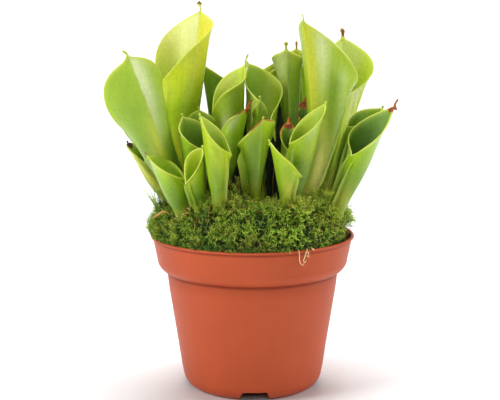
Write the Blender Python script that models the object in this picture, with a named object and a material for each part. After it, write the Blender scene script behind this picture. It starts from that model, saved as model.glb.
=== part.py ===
"""A potted pitcher plant: plastic pot, potting mix, rhizome crowns, pitchers and a cushion of moss.

All sizes below are millimetres and degrees. The origin is the middle of the pot's foot, +Z is up and the
plant's front faces -Y. Each pitcher is one rolled leaf, lofted along a bent spine from its stalk in a crown
to its oblique mouth, with a wall of its own, two wings down the front and a nectar spoon on the tip.
"""

import math

import bmesh
import bpy
import numpy as np
from mathutils import Matrix, Vector

MM = 0.001
GAP = 0.3                     # clearance between neighbouring solids

# Pot
RIM_RADIUS = 60.0
POT_HEIGHT = 91.9
LIP_HEIGHT = 1.3              # the thicker band at the very top
WALL = 1.2
COLLAR_HEIGHT = 22.0
COLLAR_RADIUS = 56.3          # at the collar's lower edge
COLLAR_ROUNDING = 8.1
BODY_TOP_RADIUS = 50.9
FOOT_RADIUS = 41.3
FOOT_ROUNDING = 10.0
FOOT_RING = (28.5, 32.0)      # inner and outer radius of the flat ring that the pot stands on
FLOOR_UNDER = 3.2
FLOOR_TOP = 4.6
DRAIN_HOLES = 5
DRAIN_RADIUS = 4.0
DRAIN_SIDES = 10
DRAIN_CIRCLE = 19.0           # radius of the circle that the drain holes stand on
NOTCHES = 4
NOTCH_HEIGHT = 3.0
NOTCH_WIDTHS = (14.0, 17.0)   # at its top and at the ground
NOTCH_TURN = 2.0              # the front notch stands this far round to the right
POT_SIDES = 36

# Potting mix and moss
SOIL_EDGE_HEIGHT = 83.0
SOIL_CROWN = 15.0             # how much the mix rises to the middle
SOIL_EDGE_RADIUS = 55.7
SOIL_SIDES = 24
MOSS_RIM_HEIGHT = 94.0
MOSS_CROWN = 19.0
MOSS_RADIUS = 58.0
MOSS_LUMP = 1.2               # height of the cushion's lumps
MOSS_SIDES = 28
MOSS_INSIDE_RADIUS = 57.0     # where the moss fills the mouth of the pot
MOSS_EDGE_RADIUS = 59.0       # where it swells over the rim, on the left
MOSS_PULLED_IN = 1.2          # how much less it swells on the right
MOSS_EDGE_LIFT = 1.2          # clear of the rim
MOSS_RINGS = (57.0, 52.0, 43.0, 30.0, 15.0, 0.0)
MOSS_UNDER_RINGS = (0.0, 26.0, 44.0, 56.0)
MOSS_HOLE_LOOSE = 1.1

# Rhizome crowns: where each rosette's short stem stands
CROWNS = {
    "front_left": (-32.0, -28.0),
    "left": (-37.0, 0.0),
    "middle": (-2.0, -9.0),
    "right": (23.0, -18.0),
    "far_right": (43.0, -1.0),
    "rear_right": (21.0, 20.0),
    "rear_left": (-15.0, 25.0),
}
CROWN_ABOVE_SOIL = 4.0
CROWN_DEPTH = 13.0
CROWN_SIDES = 8
CROWN_SHOULDER = 0.92         # radius at the top, as a share of the widest
CROWN_BASE = 0.62             # and near the bottom
CROWN_MARGIN = 1.4            # left outside the outermost stalk
SOCKET_DEPTH = 5.0
SOCKET_LOOSE = 0.8
SLEEVE_SIDES = 6              # flats of the holes that the stalks pass through
SOCKET_SPREAD = 0.58          # how far out a stalk's socket lies, as a share of its offset at the moss
ROOTS_PER_CROWN = 3
ROOT_LENGTH = 34.0
ROOT_RADIUS = 1.8
ROOT_TAPER = 0.5
ROOT_SIDES = 5
ROOT_SLOPE = 68.0             # degrees below level
MIDDLE_ROOT_STEEPER = 9.0
ROOT_FAN = 75.0               # degrees between neighbouring roots, fanned towards the middle of the pot

# Pitchers
STALK_RADIUS = 2.3
PITCHER_WALL = 0.9
WING_HEIGHT = 1.6
WING_ANGLE = 0.42             # radians either side of the front, on most of the leaves
WING_SPREAD = 0.3
MOUTH_POINT = 0.36            # how much the mouth narrows towards the tip and the lip
POINT_REACH = 0.32            # radians over which the rim sweeps up into the tip and out to the lip
TIP_PINCH = 0.14              # how much the rim is drawn in beside the tip, as a share of half its length
LIP_PINCH = 0.12              # and beside the lip
LARGE_MOUTH = 28.0            # a mouth this wide gets the finer mesh
LARGE_ROWS = (0.14, 0.28, 0.42, 0.56, 0.70, 0.84, 0.94, 1.0)   # shares of the length, above the crown
SMALL_ROWS = (0.28, 0.56, 0.80, 1.0)
LARGE_SIDES = 16
SMALL_SIDES = 12
LARGE_FLOOR = 0.34            # share of the length where the pitcher's inside begins
SMALL_FLOOR = 0.44
# Each step of a spoon: height and lean back as shares of its length, then half its width and half its thickness
SPOON_STEPS = (
    (0.25, 0.00, 1.3, 0.50),
    (0.60, 0.08, 0.7, 0.60),
    (0.85, 0.25, 1.2, 0.85),
    (1.00, 0.45, 0.8, 0.60),
)
SHORT_SPOON_STEPS = ((0.45, 0.0, 1.0, 0.5), (1.0, 0.2, 0.6, 0.45))
LONG_SPOON = 3.5


def clear_scene():
    for old in list(bpy.data.objects):
        bpy.data.objects.remove(old, do_unlink=True)


def material(name, colour, roughness):
    made = bpy.data.materials.new(name)
    made.use_nodes = True
    shader = made.node_tree.nodes["Principled BSDF"]
    shader.inputs["Base Color"].default_value = (*colour, 1.0)
    shader.inputs["Roughness"].default_value = roughness
    made.diffuse_color = (*colour, 1.0)
    return made


def finish(mesh_builder, name, made_material, smooth_angle=40.0):
    """Turn a closed bmesh in millimetres into a named object in metres."""
    bmesh.ops.remove_doubles(mesh_builder, verts=mesh_builder.verts, dist=1e-5)
    bmesh.ops.recalc_face_normals(mesh_builder, faces=mesh_builder.faces)
    bmesh.ops.scale(mesh_builder, verts=mesh_builder.verts, vec=(MM, MM, MM))
    mesh = bpy.data.meshes.new(name)
    mesh_builder.to_mesh(mesh)
    mesh_builder.free()
    mesh.shade_smooth()
    mesh.set_sharp_from_angle(angle=math.radians(smooth_angle))
    made = bpy.data.objects.new(name, mesh)
    bpy.context.scene.collection.objects.link(made)
    if made_material:
        made.data.materials.append(made_material)
    return made


def cut(target, cutters, label):
    """Subtract a group of cutters from an object with one Boolean modifier."""
    group = bpy.data.collections.new(label)
    bpy.context.scene.collection.children.link(group)
    for cutter in cutters:
        for holder in list(cutter.users_collection):
            holder.objects.unlink(cutter)
        group.objects.link(cutter)
        cutter.hide_render = True
        cutter.display_type = "WIRE"
    boolean = target.modifiers.new(label, "BOOLEAN")
    boolean.operation = "DIFFERENCE"
    boolean.operand_type = "COLLECTION"
    boolean.collection = group
    boolean.solver = "EXACT"


def turned(profile, sides, centre=(0.0, 0.0)):
    """Spin a profile of (radius, height) points once round a vertical axis."""
    spun = bmesh.new()
    points = [spun.verts.new((centre[0] + r, centre[1], z)) for r, z in profile]
    edges = [spun.edges.new(pair) for pair in zip(points[:-1], points[1:])]
    bmesh.ops.spin(
        spun, geom=points + edges, cent=(*centre, 0.0), axis=(0.0, 0.0, 1.0),
        angle=2.0 * math.pi, steps=sides, use_merge=True, use_duplicate=False,
    )
    return spun


def arc(centre, radius, start, end, count):
    angles = np.radians(np.linspace(start, end, count))
    return [(centre[0] + radius * math.cos(a), centre[1] + radius * math.sin(a)) for a in angles]


def smooth_step(value):
    value = np.clip(value, 0.0, 1.0)
    return value * value * (3.0 - 2.0 * value)


def unit(vectors):
    return vectors / np.linalg.norm(vectors, axis=-1, keepdims=True)


def soil_height(radius):
    return SOIL_EDGE_HEIGHT + SOIL_CROWN * (1.0 - (radius / SOIL_EDGE_RADIUS) ** 2)


def moss_height(x, y):
    radius = min(math.hypot(x, y) / MOSS_RADIUS, 1.0)
    return MOSS_RIM_HEIGHT + MOSS_CROWN * (1.0 - radius ** 6)


def crown_top(crown):
    return soil_height(math.hypot(*CROWNS[crown])) + CROWN_ABOVE_SOIL


def socket_place(pitcher):
    """Where a stalk stands in its crown: drawn in towards the crown's middle from its place at the moss."""
    cx, cy = CROWNS[pitcher["crown"]]
    x, y = pitcher["root"]
    return cx + SOCKET_SPREAD * (x - cx), cy + SOCKET_SPREAD * (y - cy)


def spine(pitcher):
    """The pitcher's spine as guide points, and the share of its length at each."""
    x, y = socket_place(pitcher)
    top = crown_top(pitcher["crown"])
    root = np.array([*pitcher["root"], moss_height(*pitcher["root"])])
    mouth = (np.array(pitcher["tip"], float) + np.array(pitcher["lip"], float)) / 2.0
    middle = (root + mouth) / 2.0 + np.array(pitcher["bow"], float)
    guides = np.array([(x, y, top - SOCKET_DEPTH), (x, y, top), root, middle, mouth])
    lengths = np.linalg.norm(np.diff(guides, axis=0), axis=1)
    shares = np.concatenate([[0.0], np.cumsum(lengths)]) / lengths.sum()
    return guides, shares


def along_spine(guides, shares, rise):
    """Positions and tangents of the smooth curve through the guide points."""
    slopes = np.diff(guides, axis=0) / np.diff(shares)[:, None]
    inner = slopes[:-1] * np.diff(shares)[1:, None] + slopes[1:] * np.diff(shares)[:-1, None]
    inner /= (np.diff(shares)[1:] + np.diff(shares)[:-1])[:, None]
    tangents = np.concatenate([slopes[:1], inner, slopes[-1:]])
    span = np.clip(np.searchsorted(shares, rise, side="right") - 1, 0, len(shares) - 2)
    step = (shares[span + 1] - shares[span])[:, None]
    t = (rise - shares[span])[:, None] / step
    a, b, m, n = guides[span], guides[span + 1], tangents[span] * step, tangents[span + 1] * step
    place = (2*t**3 - 3*t**2 + 1) * a + (t**3 - 2*t**2 + t) * m + (3*t**2 - 2*t**3) * b + (t**3 - t**2) * n
    way = (6*t**2 - 6*t) * a + (3*t**2 - 4*t + 1) * m + (6*t - 6*t**2) * b + (3*t**2 - 2*t) * n
    return place, unit(way)


def pitcher_frame(pitcher):
    """Half the chord from lip to tip, the level way to its back, its level side and the mouth's side."""
    half = (np.array(pitcher["tip"], float) - np.array(pitcher["lip"], float)) / 2.0
    back = unit(half * (1.0, 1.0, 0.0))
    side = np.cross(back, (0.0, 0.0, 1.0))
    roll = math.radians(pitcher["roll"])
    mouth_side = side * math.cos(roll) + np.cross(unit(half), side) * math.sin(roll)
    return half, back, side, mouth_side


def pinched(pitcher, turn):
    """How much the rim is drawn in beside its two points, the tip and the lip."""
    off_tip = np.abs((turn + math.pi) % (2.0 * math.pi) - math.pi)
    at_tip = pitcher["cusp"] * (1.0 - np.exp(-off_tip / POINT_REACH))
    at_lip = pitcher["beak"] * (1.0 - np.exp(-(math.pi - off_tip) / POINT_REACH))
    return np.where(off_tip < math.pi / 2.0, at_tip, at_lip)


def pitcher_surface(pitcher, turn, rise):
    """Points on the outside: turn runs from the leaf's back (0) to its front (pi), rise from foot to rim."""
    guides, shares = spine(pitcher)
    place, way = along_spine(guides, shares, rise)
    half, back, side, mouth_side = pitcher_frame(pitcher)
    half_length = np.linalg.norm(half)
    above = np.clip((rise - shares[2]) / (1.0 - shares[2]), 0.0, 1.0)
    tilt = smooth_step((above - 0.15) / 0.85)[:, None]

    level_back = unit(back - way * (way @ back)[:, None])
    backwards = unit(level_back * (1.0 - tilt) + half / half_length * tilt)
    low_side = unit(np.cross(way, level_back))
    low_side = low_side * np.sign(low_side @ side)[:, None]
    sideways = unit(low_side * (1.0 - tilt) + mouth_side * tilt)

    tube = pitcher["tube"] / 2.0
    stalk = STALK_RADIUS + (tube - STALK_RADIUS) * smooth_step((np.clip(rise / shares[2], 0, 1) - 0.15) / 0.85)
    width = stalk + (pitcher["mouth"] / 2.0 - tube) * above ** pitcher["widen"]
    depth = stalk + (half_length - tube) * above ** pitcher["deepen"]
    tilt = tilt[:, 0]
    sharpness = 1.0 + MOUTH_POINT * tilt ** 2
    across = np.sign(np.sin(turn)) * np.abs(np.sin(turn)) ** sharpness
    lengthwise = np.cos(turn) * (1.0 - tilt ** 3 * pinched(pitcher, turn))
    lengthwise = lengthwise + tilt * (pitcher["shoulder"] * np.sin(turn) ** 2 + pitcher["skew"] * np.sin(turn))
    points = place + backwards * (depth * lengthwise)[:, None] + sideways * (width * across)[:, None]

    normal = np.cross(unit(half), mouth_side)
    normal = normal * np.sign(normal[2])
    swell = (pitcher["lift"] - pitcher["sway"] * np.cos(turn)) * above ** 3 * np.sin(turn) ** 2
    points = points + normal * swell[:, None]

    fade = smooth_step((rise - shares[2] - 0.06) / 0.1) * (1.0 - smooth_step((above - 0.8) / 0.2))
    ridge = sum(
        np.clip(1.0 - np.abs((turn - c + math.pi) % (2.0 * math.pi) - math.pi) / WING_SPREAD, 0.0, 1.0)
        for c in (math.pi - pitcher["wing_angle"], pitcher["wing_angle"] - math.pi)
    )
    outwards = unit(backwards * np.cos(turn)[:, None] + sideways * np.sin(turn)[:, None])
    return points + outwards * (pitcher["wing"] * fade * ridge)[:, None]


def outward_normals(pitcher, turn, rise):
    """Unit normals of that surface, by differences, all pointing out of the tube."""
    small = 1e-3
    round_way = pitcher_surface(pitcher, turn + small, rise) - pitcher_surface(pitcher, turn - small, rise)
    up_way = pitcher_surface(pitcher, turn, np.minimum(rise + small, 1.0))
    up_way = up_way - pitcher_surface(pitcher, turn, rise - small)
    normals = unit(np.cross(round_way, up_way))
    middle, _ = along_spine(*spine(pitcher), rise)
    towards = pitcher_surface(pitcher, turn, rise) - middle
    return normals * np.sign(np.mean(np.sum(normals * towards, axis=-1)))


def grow_spoon(shell, pitcher, tip_faces, column_of, inside_of):
    """Pull the two rim faces at the tip out into the nectar spoon, one extrusion for each step."""
    _, back, _, mouth_side = pitcher_frame(pitcher)
    length = pitcher["spoon"]
    corners = {vert for face in tip_faces for vert in face.verts}
    tip = np.mean([vert.co for vert in corners if vert[column_of] == 0], axis=0)
    beside = np.mean([vert.co for vert in corners if vert[column_of] == 1], axis=0)
    sign = math.copysign(1.0, (beside - tip) @ mouth_side)
    faces = tip_faces
    for height, lean, half_width, half_thick in SPOON_STEPS if length >= LONG_SPOON else SHORT_SPOON_STEPS:
        edges = {edge for face in faces for edge in face.edges}
        corners = {vert for face in faces for vert in face.verts}
        grown = bmesh.ops.extrude_face_region(shell, geom=[*faces, *edges, *corners])["geom"]
        faces = [item for item in grown if isinstance(item, bmesh.types.BMFace)]
        centre = tip + np.array((0.0, 0.0, height * length)) + back * lean * length
        for vert in {vert for face in faces for vert in face.verts}:
            column = vert[column_of]
            thick = -half_thick if vert[inside_of] else half_thick
            bulge = 1.0 if column else 1.4
            vert.co = centre + mouth_side * (sign * column * half_width) + back * (thick * bulge)


def pitcher(name, leaf_material, **sizes):
    """One pitcher as a closed shell: a flat grid wrapped into the outside, the rim and the inside."""
    leaf = {
        "bow": (0, 0, 0), "roll": 0.0, "shoulder": 0.0, "lift": 0.0, "sway": 0.1 * sizes["mouth"],
        "widen": 1.25, "deepen": 1.9, "wing": WING_HEIGHT, "wing_angle": WING_ANGLE, "skew": 0.0,
        "cusp": TIP_PINCH, "beak": LIP_PINCH, **sizes,
    }
    large = leaf["mouth"] >= LARGE_MOUTH
    sides = LARGE_SIDES if large else SMALL_SIDES
    rows = (0.0, spine(leaf)[1][1], *(LARGE_ROWS if large else SMALL_ROWS))
    floor = LARGE_FLOOR if large else SMALL_FLOOR
    inner_rows = [row for row in reversed(rows) if row >= floor]
    layers = [(0.0, "foot")] + [(r, "out") for r in rows] + [(r, "in") for r in inner_rows] + [(floor, "floor")]

    shell = bmesh.new()
    column_of = shell.verts.layers.int.new("column")
    inside_of = shell.verts.layers.int.new("inside")
    bmesh.ops.create_grid(shell, x_segments=sides, y_segments=len(layers) - 1, size=0.5)
    verts = list(shell.verts)
    columns = np.array([round((vert.co.x + 0.5) * sides) for vert in verts])
    levels = np.array([round((vert.co.y + 0.5) * (len(layers) - 1)) for vert in verts])
    turn = (columns / sides - 0.5) * 2.0 * math.pi
    rise = np.array([layers[level][0] for level in levels])
    outside = pitcher_surface(leaf, turn, rise)
    inside = outside - outward_normals(leaf, turn, rise) * PITCHER_WALL
    middle, _ = along_spine(*spine(leaf), rise)
    outer_faces, inner_faces, tip_faces = [], [], []
    for face in shell.faces:
        level = min(levels[vert.index] for vert in face.verts)
        column = min(columns[vert.index] for vert in face.verts)
        if layers[level][1] == "out" and layers[level + 1][1] == "in":
            if column in (sides // 2 - 1, sides // 2):
                tip_faces.append(face)
                continue
        (inner_faces if layers[level][1] == "in" else outer_faces).append(face)
    for vert, column, level, out_point, in_point, mid in zip(verts, columns, levels, outside, inside, middle):
        kind = layers[level][1]
        vert.co = {"out": out_point, "in": in_point}.get(kind, mid)
        vert[column_of] = int(column) - sides // 2
        vert[inside_of] = int(kind == "in")
    grow_spoon(shell, leaf, tip_faces, column_of, inside_of)
    bmesh.ops.triangulate(shell, faces=outer_faces, quad_method="FIXED")
    bmesh.ops.triangulate(shell, faces=inner_faces, quad_method="ALTERNATE")
    spoon_faces = [face for face in shell.faces if len(face.verts) > 3]
    bmesh.ops.triangulate(shell, faces=spoon_faces, quad_method="BEAUTY")
    return finish(shell, name, leaf_material), leaf


def sleeve(leaf, rises, grow, name):
    """A cutter that follows part of a pitcher's stalk: its own skin grown a little and closed at both ends."""
    guides, shares = spine(leaf)
    tube = bmesh.new()
    bmesh.ops.create_grid(tube, x_segments=SLEEVE_SIDES, y_segments=len(rises) + 1, size=0.5)
    verts = list(tube.verts)
    columns = np.array([round((vert.co.x + 0.5) * SLEEVE_SIDES) for vert in verts])
    levels = np.array([round((vert.co.y + 0.5) * (len(rises) + 1)) for vert in verts])
    rise = np.array([rises[0], *rises, rises[-1]])[levels]
    turn = (columns / SLEEVE_SIDES - 0.5) * 2.0 * math.pi
    skin = pitcher_surface(leaf, turn, rise) + outward_normals(leaf, turn, rise) * grow
    middle, _ = along_spine(guides, shares, rise)
    for vert, level, point, mid in zip(verts, levels, skin, middle):
        vert.co = mid if level in (0, len(rises) + 1) else point
    return finish(tube, name, None)


def moss_hole(leaf, number):
    _, shares = spine(leaf)
    low, top = shares[1], shares[2]
    rises = (0.7 * low, low, (low + top) / 2.0, top, top + 0.16)
    return sleeve(leaf, rises, MOSS_HOLE_LOOSE + 0.1 * leaf["tube"], f"moss_hole_{number:02d}")


def crown_socket(leaf, number):
    _, shares = spine(leaf)
    low = shares[1]
    return sleeve(leaf, (-0.08 * low, low, 1.6 * low), SOCKET_LOOSE, f"socket_{number:02d}")


def crown_profile(radius, top, grow=0.0):
    return [
        (0.0, top - CROWN_DEPTH - grow),
        (CROWN_BASE * radius + grow, top - CROWN_DEPTH + 1.0 - grow),
        (radius + grow, top - CROWN_DEPTH / 2.0),
        (CROWN_SHOULDER * radius + grow, top + grow),
        (0.0, top + grow),
    ]


def crown_radius(crown, leaves):
    cx, cy = CROWNS[crown]
    places = [socket_place(leaf) for leaf in leaves if leaf["crown"] == crown]
    return max(math.hypot(x - cx, y - cy) for x, y in places) / CROWN_SHOULDER + STALK_RADIUS + CROWN_MARGIN


def root_bodies(crown, radius, grow=0.0):
    """The crown's main roots: tapered, sloping down and out from well inside it."""
    cx, cy = CROWNS[crown]
    top = crown_top(crown) - 0.6 * CROWN_DEPTH
    made = []
    inward = math.atan2(-cy, -cx)
    for number in range(ROOTS_PER_CROWN):
        heading = inward + (number - 1) * math.radians(ROOT_FAN)
        slope = math.radians(ROOT_SLOPE + MIDDLE_ROOT_STEEPER * (number == 1))
        level = math.cos(slope)
        way = np.array([math.cos(heading) * level, math.sin(heading) * level, -math.sin(slope)])
        root = bmesh.new()
        length = ROOT_LENGTH + grow
        bmesh.ops.create_cone(
            root, cap_ends=True, segments=ROOT_SIDES, radius1=ROOT_TAPER * ROOT_RADIUS + 1.2 * grow,
            radius2=ROOT_RADIUS + 1.2 * grow, depth=length,
        )
        bmesh.ops.translate(root, verts=root.verts, vec=(0.0, 0.0, -length / 2.0))
        lean = Vector((0.0, 0.0, -1.0)).rotation_difference(Vector(way)).to_matrix()
        bmesh.ops.rotate(root, verts=root.verts, cent=(0, 0, 0), matrix=lean)
        bmesh.ops.translate(root, verts=root.verts, vec=(cx, cy, top) + way * (0.15 * radius))
        made.append(finish(root, f"root_{crown}_{number}_{'hole' if grow else 'body'}", None))
    return made


def join_union(target, others, label):
    """Join bodies to an object with one applied Boolean union, then drop them."""
    group = bpy.data.collections.new(label)
    bpy.context.scene.collection.children.link(group)
    for other in others:
        bpy.context.scene.collection.objects.unlink(other)
        group.objects.link(other)
    union = target.modifiers.new(label, "BOOLEAN")
    union.operation = "UNION"
    union.operand_type = "COLLECTION"
    union.collection = group
    union.solver = "EXACT"
    bpy.context.view_layer.update()
    evaluated = target.evaluated_get(bpy.context.evaluated_depsgraph_get())
    joined = bpy.data.meshes.new_from_object(evaluated)
    target.modifiers.clear()
    target.data = joined
    for other in list(group.objects):
        bpy.data.objects.remove(other, do_unlink=True)
    bpy.data.collections.remove(group)


def crown_body(crown, leaves, crown_material):
    """A rosette's rhizome crown: a squat knob with a socket for each stalk and roots running down."""
    radius, top = crown_radius(crown, leaves), crown_top(crown)
    knob = turned(crown_profile(radius, top), CROWN_SIDES, CROWNS[crown])
    body = finish(knob, f"rhizome_{crown}", crown_material)
    join_union(body, root_bodies(crown, radius), f"join_{crown}")
    sockets = [crown_socket(leaf, number) for number, leaf in enumerate(leaves, 1) if leaf["crown"] == crown]
    cut(body, sockets, f"sockets_{crown}")
    return radius


def crown_pocket(crown, radius, label):
    return finish(turned(crown_profile(radius, crown_top(crown), GAP), CROWN_SIDES, CROWNS[crown]), label, None)


def pot(pot_material):
    """The moulded pot: foot ring, tapered body, wide collar and lip outside, and the same shape a wall in."""
    collar_foot = POT_HEIGHT - COLLAR_HEIGHT
    collar_centre = (COLLAR_RADIUS - COLLAR_ROUNDING, collar_foot + COLLAR_ROUNDING)
    foot_centre = (FOOT_RADIUS - FOOT_ROUNDING, FOOT_ROUNDING)
    lip_foot = POT_HEIGHT - LIP_HEIGHT
    outside = (
        [(0.0, FLOOR_UNDER), (FOOT_RING[0] - 0.3, FLOOR_UNDER), (FOOT_RING[0], 0.0), (FOOT_RING[1], 0.0)]
        + arc(foot_centre, FOOT_ROUNDING, -68.0, -5.0, 4)
        + arc(collar_centre, COLLAR_ROUNDING, -70.0, -3.0, 4)
        + [(RIM_RADIUS - 0.6, lip_foot), (RIM_RADIUS, lip_foot + 0.2), (RIM_RADIUS, POT_HEIGHT - 0.4)]
    )
    inside = (
        [(RIM_RADIUS - 0.5, POT_HEIGHT), (RIM_RADIUS - WALL - 0.5, POT_HEIGHT - 0.1)]
        + [(RIM_RADIUS - WALL - 0.7, lip_foot - 0.3), (COLLAR_RADIUS - WALL, collar_foot + COLLAR_ROUNDING)]
        + [(COLLAR_RADIUS - WALL - 1.6, collar_foot + 3.9), (BODY_TOP_RADIUS - WALL, collar_foot + WALL)]
        + [(FOOT_RADIUS - WALL, FOOT_ROUNDING), (FOOT_RADIUS - WALL - 1.3, FLOOR_TOP + 2.2)]
        + [(FOOT_RADIUS - WALL - 3.6, FLOOR_TOP), (0.0, FLOOR_TOP)]
    )
    body = finish(turned(outside + inside, POT_SIDES), "pot", pot_material)
    cutters = []
    for number in range(NOTCHES):
        heading = math.radians(-90.0 + NOTCH_TURN + number * 360.0 / NOTCHES)
        notch = bmesh.new()
        bmesh.ops.create_cube(notch, size=1.0)
        for vert in notch.verts:
            high = vert.co.z > 0.0
            half = NOTCH_WIDTHS[0 if high else 1] / 2.0
            reach = FOOT_RING[0] - 2.0 if vert.co.x < 0.0 else FOOT_RADIUS + 5.0
            vert.co = (reach, math.copysign(half, vert.co.y), NOTCH_HEIGHT if high else -0.1)
        bmesh.ops.rotate(notch, verts=notch.verts, cent=(0, 0, 0), matrix=Matrix.Rotation(heading, 3, "Z"))
        cutters.append(finish(notch, f"notch_cut_{number}", None))
    for number in range(DRAIN_HOLES):
        heading = 2.0 * math.pi * (number + 0.5) / DRAIN_HOLES
        hole = bmesh.new()
        bmesh.ops.create_cone(
            hole, cap_ends=True, segments=DRAIN_SIDES, radius1=DRAIN_RADIUS, radius2=DRAIN_RADIUS, depth=8.0,
        )
        place = (DRAIN_CIRCLE * math.cos(heading), DRAIN_CIRCLE * math.sin(heading), FLOOR_TOP)
        bmesh.ops.translate(hole, verts=hole.verts, vec=place)
        cutters.append(finish(hole, f"drain_cut_{number}", None))
    cut(body, cutters, "pot_cuts")


def soil(soil_material, crown_radii):
    """The potting mix: a plug of the pot's inner shape, domed on top, with a pocket for each crown."""
    loose = GAP + 0.1
    collar_foot = POT_HEIGHT - COLLAR_HEIGHT
    sides = [
        (0.0, FLOOR_TOP + loose),
        (FOOT_RADIUS - WALL - 4.2, FLOOR_TOP + loose),
        (FOOT_RADIUS - WALL - 0.6, FOOT_ROUNDING + 0.5),
        (BODY_TOP_RADIUS - WALL - loose - 0.3, collar_foot + WALL),
        (COLLAR_RADIUS - WALL - 2.2, collar_foot + 5.0),
        (COLLAR_RADIUS - WALL - 0.6, collar_foot + COLLAR_ROUNDING + 0.5),
        (SOIL_EDGE_RADIUS, SOIL_EDGE_HEIGHT),
    ]
    dome = [(r, soil_height(r)) for r in (44.0, 26.0, 0.0)]
    plug = finish(turned(sides + dome, SOIL_SIDES), "soil", soil_material)
    cutters = []
    for crown, radius in crown_radii.items():
        pocket = crown_pocket(crown, radius, f"soil_pocket_{crown}")
        join_union(pocket, root_bodies(crown, radius, GAP), f"join_pocket_{crown}")
        cutters.append(pocket)
    cut(plug, cutters, "soil_pockets")


def moss(moss_material, crown_radii, leaves):
    """The moss cushion: a mound over the mix that swells a little past the rim, pierced by every pitcher."""
    rings = [("under", r) for r in MOSS_UNDER_RINGS]
    rings += [("side", z) for z in (POT_HEIGHT - 2.0, POT_HEIGHT + MOSS_EDGE_LIFT / 2.0)]
    rings += [("edge", MOSS_EDGE_RADIUS)]
    rings += [("over", r) for r in MOSS_RINGS]
    mound = bmesh.new()
    bmesh.ops.create_grid(mound, x_segments=MOSS_SIDES, y_segments=len(rings) - 1, size=0.5)
    for vert in mound.verts:
        heading = (vert.co.x + 0.5) * 2.0 * math.pi
        kind, size = rings[round((vert.co.y + 0.5) * (len(rings) - 1))]
        pulled_in = MOSS_PULLED_IN * (0.5 + 0.5 * math.cos(heading))
        if kind == "under":
            radius, z = size, soil_height(size) + 2.0 * GAP
        elif kind == "side":
            radius, z = MOSS_INSIDE_RADIUS, size
        elif kind == "edge":
            radius, z = size - pulled_in, POT_HEIGHT + MOSS_EDGE_LIFT
        else:
            radius = size - pulled_in * size / MOSS_EDGE_RADIUS
            x, y = radius * math.cos(heading), radius * math.sin(heading)
            lumps = math.sin(0.21 * x + 1.3) * math.cos(0.26 * y) + 0.5 * math.sin(0.43 * y - 0.31 * x)
            z = moss_height(x, y) + MOSS_LUMP * lumps * (1.0 - (radius / MOSS_EDGE_RADIUS) ** 4)
        vert.co = (radius * math.cos(heading), radius * math.sin(heading), z)
    mound = finish(mound, "moss", moss_material)
    cutters = [crown_pocket(crown, radius, f"moss_pocket_{crown}") for crown, radius in crown_radii.items()]
    cutters += [moss_hole(leaf, number) for number, leaf in enumerate(leaves, 1)]
    cut(mound, cutters, "moss_holes")


clear_scene()

fresh_green = material("leaf_green", (0.33, 0.52, 0.05), 0.35)
yellow_green = material("leaf_yellow_green", (0.52, 0.62, 0.06), 0.35)
deep_green = material("leaf_deep_green", (0.14, 0.30, 0.04), 0.40)

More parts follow.
